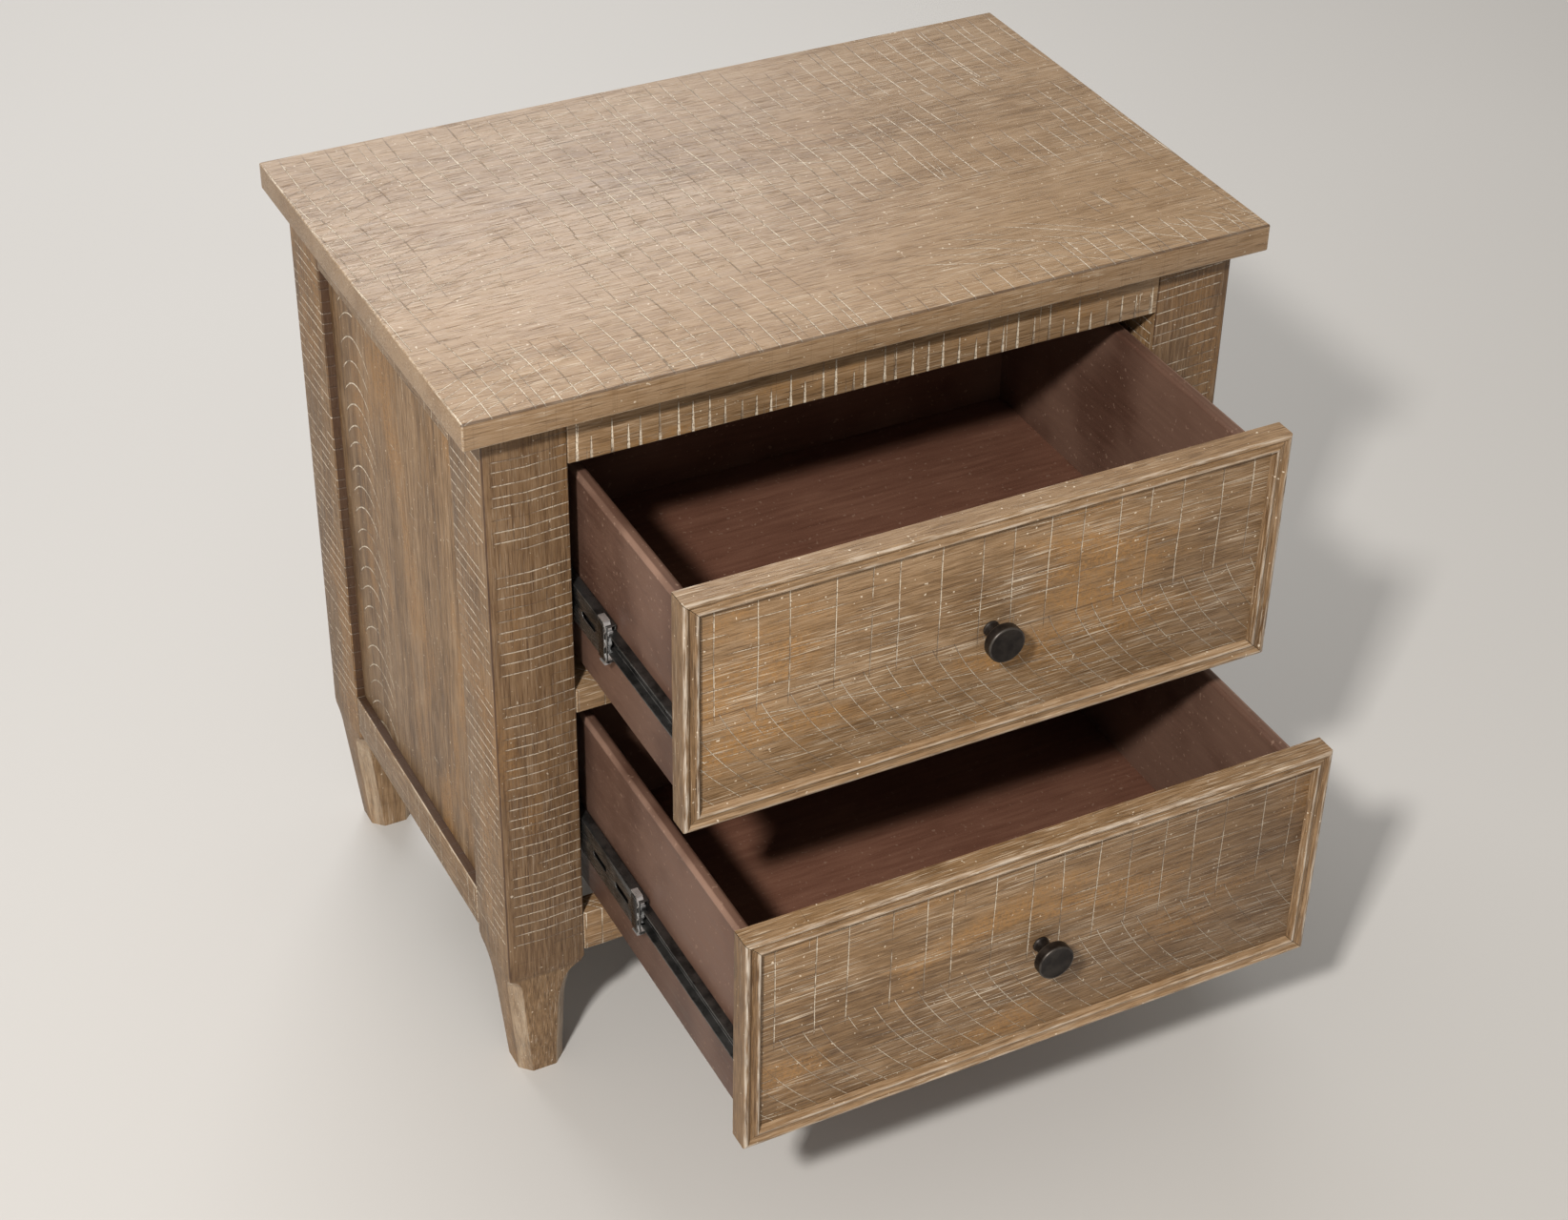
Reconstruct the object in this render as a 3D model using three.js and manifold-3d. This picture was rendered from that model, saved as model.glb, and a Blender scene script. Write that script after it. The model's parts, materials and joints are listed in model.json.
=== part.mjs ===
// Nightstand: a slab top on four legs, a framed and panelled carcass, and two inset drawers
// on ball-bearing slides.
// Units are millimetres. +Z is up, the drawers open towards -Y, +X is to the right when facing
// the front. The origin is on the floor under the middle of the bounding box as modelled, with
// both drawers standing part open.
import * as THREE from 'three';
import { mergeVertices } from 'three/addons/utils/BufferGeometryUtils.js';
import { ConvexGeometry } from 'three/addons/geometries/ConvexGeometry.js';
import Module from 'manifold-3d';

const wasm = await Module();
wasm.setup();

// ---- Driving dimensions ----

// Whole piece
const totalHeight = 705;
const topWidth = 711;
const topDepth = 457;
const topThickness = 24;
const sideOverhang = 21;
const frontOverhang = 20;

// Carcass
const legSize = 70;
const railThickness = 22;
const topRailHeight = 47;
const bottomRailLow = 136;
const bottomRailHeight = 41;
const dividerLow = 394;
const dividerHeight = 23;
const dividerDepth = 60;
const sidePanelRecess = 8.2;
const sidePanelThickness = 10;
const backPanelRecess = 6;
const backPanelThickness = 6;
const cleatThickness = 22;
const cleatHeight = 60;
const woodEase = 1;
const topEase = 1.5;
const panelEase = 0.4;

// Feet
const footTaperTop = 130;
const footCurveEnd = 72;
const footOuterInset = 12;
const footInnerCurveInset = 15;
const footInnerInset = 16;
const footCurvePower = 2.2;
const footChamfer = 10;
const footChamferTop = 124;
const footChamferFull = 108;
const footRingStep = 2;

// Drawer fronts
const frontHeight = 213;
const frontSideGap = 1.7;
const frontBottomGap = 1;
const frontThickness = 20;
const mouldingWidth = 16;
const panelThickness = 15;
const mitreGap = 0.15;

// Drawer boxes
const slideSpace = 12.7;
const boxWall = 12;
const boxRise = 12;
const boxHeight = 182;
const boxLength = 384;
const boxEdgeRadius = 4;
const boxBottomThickness = 6;
const boxBottomTop = 21;
const grooveDepth = 5;
const grooveClearance = 0.2;

// How far each drawer stands open as modelled
const upperOpen = 200;
const lowerOpen = 305;

// Slides: depths are measured inwards from the inner face of the legs
const slideRise = 83;
const slideLength = 350;
const slideSetBack = 23;
const steel = 1.2;
const cabinetHalf = 22.5;
const cabinetDepth = 10.4;
const cabinetLip = 4.1;
const middleHalf = 17.5;
const middleStart = 2.6;
const middleEnd = 11.2;
const middleLip = 4.3;
const middleSetBack = 41;
const middleLength = 320;
const innerHalf = 10;
const innerStart = 4.6;
const innerSetBack = 21;
const bracketHalf = 21;
const bracketPlate = 1;
const bracketHookEnd = 8.8;
const bracketHookClearance = 0.3;
const bracketLength = 14;
const cabinetSlots = { offsets: [8, 160, 310], length: 16, halfWidth: 2.5 };
const middleSlots = { offsets: [22, 66, 150, 238], length: 26, halfWidth: 3.2 };

// Knob and its screw
const knobRadius = 15.875;
const knobProjection = 25;
const knobStemRadius = 5;
const knobBaseRadius = 7;
const knobHeadDepth = 9.4;
const knobBoreDepth = 14;
const screwRadius = 2;
const screwClearance = 0.2;
const screwReach = 12;
const screwHeadRadius = 4.5;
const screwHeadHeight = 2.4;
const screwRecessDepth = 1.3;
const screwRecessHalfLength = 2.6;
const screwRecessHalfWidth = 0.5;

// Points along each quarter or half round
const arcSteps = 6;

// ---- Places worked out from the driving dimensions ----

const knobStandOut = knobProjection - (frontThickness - panelThickness);
const overallDepth = topDepth - frontOverhang + lowerOpen + knobStandOut;
const backY = overallDepth / 2;
const topFrontY = backY - topDepth;
const frameFrontY = topFrontY + frontOverhang;
const legOuterX = topWidth / 2 - sideOverhang;
const legInnerX = legOuterX - legSize;
const frontLegBackY = frameFrontY + legSize;
const backLegFrontY = backY - legSize;
const topUnderside = totalHeight - topThickness;
const topRailLow = topUnderside - topRailHeight;
const bottomRailTop = bottomRailLow + bottomRailHeight;
const boxOuterX = legInnerX - slideSpace;
const boxInnerX = boxOuterX - boxWall;
const frontHalfWidth = legInnerX - frontSideGap;

// ---- Materials ----

const oakLook = { color: 0x8d7052, roughness: 0.62, metalness: 0 };
const drawerWoodLook = { color: 0x64443a, roughness: 0.45, metalness: 0 };
const boardLook = { color: 0x9a7c5e, roughness: 0.8, metalness: 0 };
const slideLook = { color: 0x1b1b1d, roughness: 0.42, metalness: 0.8 };
const zincLook = { color: 0x8f9295, roughness: 0.4, metalness: 0.9 };
const bronzeLook = { color: 0x2a2320, roughness: 0.45, metalness: 0.85 };

// ---- Helpers ----

const group = new THREE.Group();
group.name = 'nightstand';

function addPiece(name, geometry, look) {
  const mesh = new THREE.Mesh(geometry, new THREE.MeshStandardMaterial(look));
  mesh.name = name;
  group.add(mesh);
}

function toManifold(geometry) {
  const bare = geometry.clone();
  bare.deleteAttribute('normal');
  bare.deleteAttribute('uv');
  const merged = mergeVertices(bare, 1e-4);
  return new wasm.Manifold(new wasm.Mesh({
    numProp: 3,
    vertProperties: Float32Array.from(merged.attributes.position.array),
    triVerts: Uint32Array.from(merged.index.array),
  }));
}

function fromManifold(solid) {
  const mesh = solid.getMesh();
  const geometry = new THREE.BufferGeometry();
  geometry.setAttribute('position', new THREE.BufferAttribute(mesh.vertProperties, 3));
  geometry.setIndex(new THREE.BufferAttribute(mesh.triVerts, 1));
  geometry.computeVertexNormals();
  return geometry;
}

function cut(geometry, tools) {
  let solid = toManifold(geometry);
  for (const tool of tools) {
    solid = solid.subtract(toManifold(tool));
  }
  return fromManifold(solid);
}

function plainBox(low, high) {
  const size = high.map((value, axis) => value - low[axis]);
  const geometry = new THREE.BoxGeometry(size[0], size[1], size[2]);
  geometry.translate((low[0] + high[0]) / 2, (low[1] + high[1]) / 2, (low[2] + high[2]) / 2);
  return geometry;
}

// A box between two opposite corners with a small flat along every edge.
function easedBox(low, high, ease = woodEase) {
  const points = [];
  for (let corner = 0; corner < 8; corner += 1) {
    for (let fullAxis = 0; fullAxis < 3; fullAxis += 1) {
      const place = [0, 1, 2].map((axis) => {
        const inset = axis === fullAxis ? 0 : ease;
        return (corner >> axis) & 1 ? high[axis] - inset : low[axis] + inset;
      });
      points.push(new THREE.Vector3(...place));
    }
  }
  return new ConvexGeometry(points);
}

// The same box on the left (side -1) or right (side 1), given its distances from the middle.
function sideBox(side, nearX, farX, lowY, highY, lowZ, highZ, ease = woodEase) {
  const xs = [side * nearX, side * farX].sort((a, b) => a - b);
  return easedBox([xs[0], lowY, lowZ], [xs[1], highY, highZ], ease);
}

// An outline in X and Z pushed along +Y.
function prismAlongY(outline, lowY, length) {
  const shape = new THREE.Shape(outline.map(([x, z]) => new THREE.Vector2(x, z)));
  const geometry = new THREE.ExtrudeGeometry(shape, { depth: length, bevelEnabled: false });
  geometry.rotateX(Math.PI / 2);
  geometry.translate(0, lowY + length, 0);
  return geometry;
}

// An outline in Y and Z pushed along +X.
function prismAlongX(outline, lowX, length) {
  const shape = new THREE.Shape(outline.map(([y, z]) => new THREE.Vector2(y, z)));
  const geometry = new THREE.ExtrudeGeometry(shape, { depth: length, bevelEnabled: false });
  geometry.rotateX(Math.PI / 2);
  geometry.rotateZ(Math.PI / 2);
  geometry.translate(lowX, 0, 0);
  return geometry;
}

// A cylinder along Y between two depths.
function rodAlongY(radius, lowY, highY, x, z, segments = 24) {
  const geometry = new THREE.CylinderGeometry(radius, radius, highY - lowY, segments);
  geometry.translate(x, (lowY + highY) / 2, z);
  return geometry;
}

// Skins a stack of rings that all have the same number of points and run anticlockwise.
function loft(rings) {
  const count = rings[0].length;
  const last = (rings.length - 1) * count;
  const index = [];
  for (let level = 0; level < rings.length - 1; level += 1) {
    for (let i = 0; i < count; i += 1) {
      const a = level * count + i;
      const b = level * count + ((i + 1) % count);
      index.push(a, b, b + count, a, b + count, a + count);
    }
  }
  for (let i = 1; i < count - 1; i += 1) {
    index.push(0, i + 1, i);
    index.push(last, last + i, last + i + 1);
  }
  const geometry = new THREE.BufferGeometry();
  geometry.setAttribute('position', new THREE.Float32BufferAttribute(rings.flat(2), 3));
  geometry.setIndex(index);
  geometry.computeVertexNormals();
  return geometry;
}

// ---- Top ----

addPiece(
  'tabletop',
  easedBox([-topWidth / 2, topFrontY, topUnderside], [topWidth / 2, backY, totalHeight], topEase),
  oakLook,
);

// ---- Legs: square posts that taper to a foot with stopped chamfers ----

function outerInset(z) {
  return footOuterInset * Math.max(0, 1 - z / footTaperTop);
}

function innerInset(z) {
  if (z >= footTaperTop) {
    return 0;
  }
  if (z <= footCurveEnd) {
    return footInnerCurveInset + (footInnerInset - footInnerCurveInset) * (1 - z / footCurveEnd);
  }
  const down = (footTaperTop - z) / (footTaperTop - footCurveEnd);
  return footInnerCurveInset * (1 - (1 - down) ** footCurvePower);
}

function cornerCut(z) {
  if (z >= footChamferTop) {
    return woodEase;
  }
  if (z <= footChamferFull) {
    return footChamfer;
  }
  const up = (z - footChamferFull) / (footChamferTop - footChamferFull);
  return Math.max(woodEase, footChamfer * Math.sqrt(1 - up * up));
}

// One eight-sided ring of a leg; sideX and sideY say which corner of the carcass it is at.
function legRing(sideX, sideY, z) {
  const outY = sideY < 0 ? frameFrontY + outerInset(z) : backY - outerInset(z);
  const inY = sideY < 0 ? frontLegBackY - innerInset(z) : backLegFrontY + innerInset(z);
  const xs = [sideX * (legOuterX - outerInset(z)), sideX * (legInnerX + innerInset(z))];
  const [x0, x1] = xs.sort((a, b) => a - b);
  const [y0, y1] = [outY, inY].sort((a, b) => a - b);
  const c = cornerCut(z);
  return [
    [x0 + c, y0, z], [x1 - c, y0, z],
    [x1, y0 + c, z], [x1, y1 - c, z],
    [x1 - c, y1, z], [x0 + c, y1, z],
    [x0, y1 - c, z], [x0, y0 + c, z],
  ];
}

const ringHeights = [0, footCurveEnd / 2];
for (let z = footCurveEnd; z <= footTaperTop; z += footRingStep) {
  ringHeights.push(z);
}
ringHeights.push(topUnderside);

const corners = [['front_left', -1, -1], ['front_right', 1, -1],
  ['back_left', -1, 1], ['back_right', 1, 1]];
for (const [place, sideX, sideY] of corners) {
  const rings = ringHeights.map((z) => legRing(sideX, sideY, z));
  addPiece(`leg_${place}`, loft(rings), oakLook);
}

// ---- Carcass rails, panels and slide cleats ----

function frontRail(name, lowZ, highZ, depth) {
  const low = [-legInnerX, frameFrontY, lowZ];
  const high = [legInnerX, frameFrontY + depth, highZ];
  addPiece(name, easedBox(low, high), oakLook);
}

frontRail('front_top_rail', topRailLow, topUnderside, railThickness);
frontRail('front_middle_rail', dividerLow, dividerLow + dividerHeight, dividerDepth);
frontRail('front_bottom_rail', bottomRailLow, bottomRailTop, railThickness);

const slideHeights = {
  upper: dividerLow + dividerHeight + frontBottomGap + slideRise,
  lower: bottomRailTop + frontBottomGap + slideRise,
};

for (const [word, side] of [['left', -1], ['right', 1]]) {
  const railBack = legOuterX - railThickness;
  const panelFace = legOuterX - sidePanelRecess;
  addPiece(
    `side_top_rail_${word}`,
    sideBox(side, railBack, legOuterX, frontLegBackY, backLegFrontY, topRailLow, topUnderside),
    oakLook,
  );
  addPiece(
    `side_bottom_rail_${word}`,
    sideBox(side, railBack, legOuterX, frontLegBackY, backLegFrontY, bottomRailLow, bottomRailTop),
    oakLook,
  );
  addPiece(
    `side_panel_${word}`,
    sideBox(side, panelFace - sidePanelThickness, panelFace, frontLegBackY, backLegFrontY,
      bottomRailTop, topRailLow, panelEase),
    oakLook,
  );
  for (const [level, height] of Object.entries(slideHeights)) {
    addPiece(
      `slide_cleat_${level}_${word}`,
      sideBox(side, legInnerX, legInnerX + cleatThickness, frontLegBackY, backLegFrontY,
        height - cleatHeight / 2, height + cleatHeight / 2),
      oakLook,
    );
  }
}

addPiece(
  'back_bottom_rail',
  easedBox([-legInnerX, backY - railThickness, bottomRailLow], [legInnerX, backY, bottomRailTop]),
  oakLook,
);
addPiece(
  'back_panel',
  easedBox(
    [-legInnerX, backY - backPanelRecess - backPanelThickness, bottomRailTop],
    [legInnerX, backY - backPanelRecess, topUnderside],
    panelEase,
  ),
  boardLook,
);

// ---- Drawer fronts ----

// Section of the front moulding. The first value runs inwards from the outer edge, the second
// forwards from the back face: round nose, groove, flat, bead and a cove down to the panel.
function mouldingSection() {
  const points = [[0, 0], [mouldingWidth, 0], [mouldingWidth, panelThickness]];
  const arc = (centreU, centreV, radius, fromDegrees, toDegrees, steps) => {
    for (let i = 0; i <= steps; i += 1) {
      const turn = THREE.MathUtils.degToRad(fromDegrees + (toDegrees - fromDegrees) * (i / steps));
      points.push([centreU + radius * Math.cos(turn), centreV + radius * Math.sin(turn)]);
    }
  };
  const crown = frontThickness;
  arc(mouldingWidth, panelThickness + 3, 2.4, -90 - 20, -180, 4);
  arc(12, crown - 1.5, 1.5, 10, 170, 6);
  points.push([10.2, crown - 1.3], [7.4, crown - 1.3]);
  arc(6.5, crown - 1.2, 0.9, -20, -160, 4);
  arc(2.8, crown - 2.8, 2.8, 60, 180, 7);
  return points;
}

// A moulding along +X with its outer edge at y = 0 and mitred at both ends. The section's first
// value becomes Y and its second Z.
function mitredLength(length) {
  const shape = new THREE.Shape(mouldingSection().map(([u, v]) => new THREE.Vector2(u, v)));
  const geometry = new THREE.ExtrudeGeometry(shape, { depth: 1, bevelEnabled: false });
  const place = geometry.attributes.position;
  for (let i = 0; i < place.count; i += 1) {
    const u = place.getX(i);
    const v = place.getY(i);
    const end = place.getZ(i) > 0.5 ? 1 : -1;
    place.setXYZ(i, end * (length / 2 - u - mitreGap), u, v);
  }
  return geometry;
}

// Stands the moulding up in the drawer front: turned about the front's normal, with the
// section's forward direction facing -Y.
function placeMoulding(length, turnDegrees, edgeDistance, frontY, middleZ) {
  const geometry = mitredLength(length);
  geometry.translate(0, -edgeDistance, 0);
  geometry.rotateZ(THREE.MathUtils.degToRad(turnDegrees));
  geometry.rotateX(Math.PI / 2);
  geometry.translate(0, frontY + frontThickness, middleZ);
  return geometry;
}

// The cross section of a drawer wall: flat below, rounded along the top.
function wallOutline(low, high, lowZ, highZ) {
  const outline = [[low, lowZ], [high, lowZ]];
  for (const [centre, from] of [[high - boxEdgeRadius, 0], [low + boxEdgeRadius, 90]]) {
    for (let i = 0; i <= arcSteps; i += 1) {
      const turn = THREE.MathUtils.degToRad(from + (90 * i) / arcSteps);
      outline.push([
        centre + boxEdgeRadius * Math.cos(turn),
        highZ - boxEdgeRadius + boxEdgeRadius * Math.sin(turn),
      ]);
    }
  }
  return outline;
}

function knobOutline() {
  const headBack = knobProjection - knobHeadDepth;
  const outline = [
    [0, 0], [knobBaseRadius, 0], [knobBaseRadius, 1.2], [knobBaseRadius - 0.9, 2.4],
    [knobStemRadius + 0.2, 4], [knobStemRadius, 7], [knobStemRadius + 0.3, headBack - 5],
    [knobStemRadius + 1.6, headBack - 3], [knobStemRadius + 4.6, headBack - 1.6],
    [knobRadius - 2.2, headBack - 0.6], [knobRadius - 0.6, headBack + 0.3],
    [knobRadius, headBack + 1.6], [knobRadius, knobProjection - 1.5],
    [knobRadius - 0.25, knobProjection - 0.5], [knobRadius - 0.9, knobProjection],
    [0, knobProjection],
  ];
  return outline.map(([radius, out]) => new THREE.Vector2(radius, out));
}

function addDrawer(level, floorZ, open) {
  const frontY = frameFrontY - open;
  const lowZ = floorZ + frontBottomGap;
  const middleZ = lowZ + frontHeight / 2;
  const panelY = frontY + frontThickness - panelThickness;
  const boxFrontY = frontY + frontThickness;
  const boxBackY = boxFrontY + boxLength;
  const boxLow = lowZ + boxRise;
  const boxHigh = boxLow + boxHeight;
  const boardLow = boxLow + boxBottomTop - boxBottomThickness;
  const boardHigh = boxLow + boxBottomTop;

  const screwHole = rodAlongY(
    screwRadius + screwClearance, panelY - 1, boxFrontY + boxWall + 1, 0, middleZ,
  );
  const frontPanel = easedBox(
    [-frontHalfWidth + mouldingWidth, panelY, lowZ + mouldingWidth],
    [frontHalfWidth - mouldingWidth, boxFrontY, lowZ + frontHeight - mouldingWidth],
    panelEase,
  );
  addPiece(`${level}_front_panel`, cut(frontPanel, [screwHole]), oakLook);

  const sides = [
    ['bottom', 2 * frontHalfWidth, 0, frontHeight / 2],
    ['right', frontHeight, 90, frontHalfWidth],
    ['top', 2 * frontHalfWidth, 180, frontHeight / 2],
    ['left', frontHeight, 270, frontHalfWidth],
  ];
  for (const [word, length, turn, distance] of sides) {
    const moulding = placeMoulding(length, turn, distance, frontY, middleZ);
    addPiece(`${level}_moulding_${word}`, moulding, oakLook);
  }

  // The bottom board sits in a groove run round all four walls.
  const boardX = boxInnerX + grooveDepth - grooveClearance;
  const boardFrontY = boxFrontY + boxWall - grooveDepth + grooveClearance;
  const boardBackY = boxBackY - boxWall + grooveDepth - grooveClearance;
  addPiece(
    `${level}_bottom_panel`,
    plainBox([-boardX, boardFrontY, boardLow], [boardX, boardBackY, boardHigh]),
    drawerWoodLook,
  );
  const groove = plainBox(
    [-boardX - grooveClearance, boardFrontY - grooveClearance, boardLow - grooveClearance],
    [boardX + grooveClearance, boardBackY + grooveClearance, boardHigh + grooveClearance],
  );
  for (const [word, side] of [['left', -1], ['right', 1]]) {
    const [near, far] = [side * boxInnerX, side * boxOuterX].sort((a, b) => a - b);
    const wall = prismAlongY(wallOutline(near, far, boxLow, boxHigh), boxFrontY, boxLength);
    addPiece(`${level}_box_${word}`, cut(wall, [groove]), drawerWoodLook);
  }
  const crossWall = (lowY) => prismAlongX(
    wallOutline(lowY, lowY + boxWall, boxLow, boxHigh), -boxInnerX, 2 * boxInnerX,
  );
  addPiece(`${level}_box_front`, cut(crossWall(boxFrontY), [groove, screwHole]), drawerWoodLook);
  addPiece(`${level}_box_back`, cut(crossWall(boxBackY - boxWall), [groove]), drawerWoodLook);

  // The lathe turns about Y; half a turn about Z points the knob at -Y.
  const knob = new THREE.LatheGeometry(knobOutline(), 48);
  knob.rotateZ(Math.PI);
  knob.translate(0, panelY, middleZ);
  const bore = rodAlongY(
    screwRadius + screwClearance, panelY - knobBoreDepth, panelY + 1, 0, middleZ,
  );
  addPiece(`${level}_knob`, cut(knob, [bore]), bronzeLook);

  const headY = boxFrontY + boxWall;
  const shank = toManifold(rodAlongY(screwRadius, panelY - screwReach, headY + 0.5, 0, middleZ));
  const head = toManifold(
    rodAlongY(screwHeadRadius, headY, headY + screwHeadHeight, 0, middleZ),
  );
  const crossArms = [
    [screwRecessHalfLength, screwRecessHalfWidth],
    [screwRecessHalfWidth, screwRecessHalfLength],
  ];
  const recess = crossArms.map(([halfX, halfZ]) => plainBox(
    [-halfX, headY + screwHeadHeight - screwRecessDepth, middleZ - halfZ],
    [halfX, headY + screwHeadHeight + 1, middleZ + halfZ],
  ));
  addPiece(`${level}_knob_screw`, cut(fromManifold(shank.add(head)), recess), zincLook);
}

// ---- Slides ----

// Completes an outline given as depth and height above the slide's middle by mirroring it
// below the middle, and places it in X and Z.
function mirroredOutline(upperHalf, side, height) {
  const lowerHalf = upperHalf.map(([depth, z]) => [depth, -z]).reverse();
  return [...upperHalf, ...lowerHalf].map(([depth, z]) => [side * (legInnerX - depth), height + z]);
}

// A channel's outline: web, two flanges and a lip turned in along each flange. Depths are
// inwards from the leg face; webAtStart says which end of the depth the web stands at.
function channelOutline(side, height, half, start, end, lip, webAtStart) {
  const web = webAtStart ? start : end;
  const open = webAtStart ? end : start;
  const step = webAtStart ? steel : -steel;
  const upper = lip > 0
    ? [[open, half], [open, half - lip], [open - step, half - lip], [open - step, half - steel]]
    : [[open, half], [open, half - steel]];
  const upperHalf = [[web, half], ...upper, [web + step, half - steel]];
  return mirroredOutline(upperHalf, side, height);
}

// Round-ended slots through a web, running along Y, at the given distances from its front end.
function slotTools(side, webStart, frontY, height, slots) {
  return slots.offsets.map((offset) => {
    const outline = [];
    const low = frontY + offset + slots.halfWidth;
    const high = frontY + offset + slots.length - slots.halfWidth;
    for (const [centre, from] of [[high, -90], [low, 90]]) {
      for (let i = 0; i <= arcSteps; i += 1) {
        const turn = THREE.MathUtils.degToRad(from + (180 * i) / arcSteps);
        outline.push([
          centre + slots.halfWidth * Math.cos(turn),
          height + slots.halfWidth * Math.sin(turn),
        ]);
      }
    }
    const webMiddle = side * (legInnerX - webStart - steel / 2);
    return prismAlongX(outline, webMiddle - steel, 2 * steel);
  });
}

function addSlides(level, open) {
  const height = slideHeights[level];
  for (const [word, side] of [['left', -1], ['right', 1]]) {
    const cabinetY = frameFrontY + slideSetBack;
    const cabinet = prismAlongY(
      channelOutline(side, height, cabinetHalf, 0, cabinetDepth, cabinetLip, true),
      cabinetY, slideLength,
    );
    addPiece(
      `${level}_slide_cabinet_${word}`,
      cut(cabinet, slotTools(side, 0, cabinetY, height, cabinetSlots)),
      slideLook,
    );

    const middleY = frameFrontY + middleSetBack - open / 2;
    const middle = prismAlongY(
      channelOutline(side, height, middleHalf, middleStart, middleEnd, middleLip, true),
      middleY, middleLength,
    );
    addPiece(
      `${level}_slide_middle_${word}`,
      cut(middle, slotTools(side, middleStart, middleY, height, middleSlots)),
      slideLook,
    );

    const inner = prismAlongY(
      channelOutline(side, height, innerHalf, innerStart, slideSpace, 0, false),
      frameFrontY + innerSetBack - open, slideLength,
    );
    addPiece(`${level}_slide_drawer_${word}`, inner, slideLook);

    // The end bracket's plate lies on the middle member's web and hooks over both flanges.
    const hook = middleHalf + bracketHookClearance;
    const plateStart = middleStart - bracketPlate;
    const bracketUpperHalf = [
      [plateStart, bracketHalf], [bracketHookEnd, bracketHalf],
      [bracketHookEnd, hook], [middleStart, hook],
    ];
    addPiece(
      `${level}_slide_bracket_${word}`,
      prismAlongY(mirroredOutline(bracketUpperHalf, side, height), middleY, bracketLength),
      zincLook,
    );
  }
}

addDrawer('upper', dividerLow + dividerHeight, upperOpen);
addDrawer('lower', bottomRailTop, lowerOpen);
addSlides('upper', upperOpen);
addSlides('lower', lowerOpen);

export default group;
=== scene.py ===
"""Looks of the nightstand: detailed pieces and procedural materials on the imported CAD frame.

Lengths are in metres, in the CAD's own frame: x to the right, y to the back, z up.
"""

import json
import math

import bmesh
import bpy
from mathutils import Matrix, Vector

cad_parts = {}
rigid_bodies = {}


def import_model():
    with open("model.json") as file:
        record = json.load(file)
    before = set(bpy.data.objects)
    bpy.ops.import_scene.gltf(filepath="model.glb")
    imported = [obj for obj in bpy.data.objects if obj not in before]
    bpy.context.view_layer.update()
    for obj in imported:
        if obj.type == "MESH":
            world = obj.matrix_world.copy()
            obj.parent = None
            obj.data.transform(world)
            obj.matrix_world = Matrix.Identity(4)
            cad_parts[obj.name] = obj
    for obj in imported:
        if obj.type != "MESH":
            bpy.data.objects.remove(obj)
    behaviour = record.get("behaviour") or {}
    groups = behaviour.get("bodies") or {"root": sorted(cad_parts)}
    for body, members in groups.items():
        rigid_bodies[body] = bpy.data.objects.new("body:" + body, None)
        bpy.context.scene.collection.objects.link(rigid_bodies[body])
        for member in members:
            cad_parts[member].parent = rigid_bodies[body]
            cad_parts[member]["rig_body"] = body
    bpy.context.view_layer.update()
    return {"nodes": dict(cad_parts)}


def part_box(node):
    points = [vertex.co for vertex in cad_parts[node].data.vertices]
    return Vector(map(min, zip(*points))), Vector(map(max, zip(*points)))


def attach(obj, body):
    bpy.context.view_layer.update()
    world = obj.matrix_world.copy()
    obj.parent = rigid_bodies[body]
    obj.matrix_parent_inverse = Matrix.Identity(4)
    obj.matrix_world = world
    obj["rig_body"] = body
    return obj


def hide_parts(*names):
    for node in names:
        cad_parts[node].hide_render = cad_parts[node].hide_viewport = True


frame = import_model()

MM = 0.001
LEVELS = ("upper", "lower")
SIDES = (("left", -1), ("right", 1))

# Faces of the CAD that the marks, stains and painted shade below refer to, in metres.
TOP_FRONT = 0.076
TOP_BACK = 0.381
TOP_HEIGHT = 0.705
LEG_OUTER = 0.3345
LEG_FRONT = 0.056
FRONT_RETURN = 0.014
BACK_RETURN = 0.311
LEDGE = 0.177
TOP_RAIL_LOW = 0.634
CHAMFER_TOP = 0.124

# ---------------------------------------------------------------- node helpers


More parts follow.
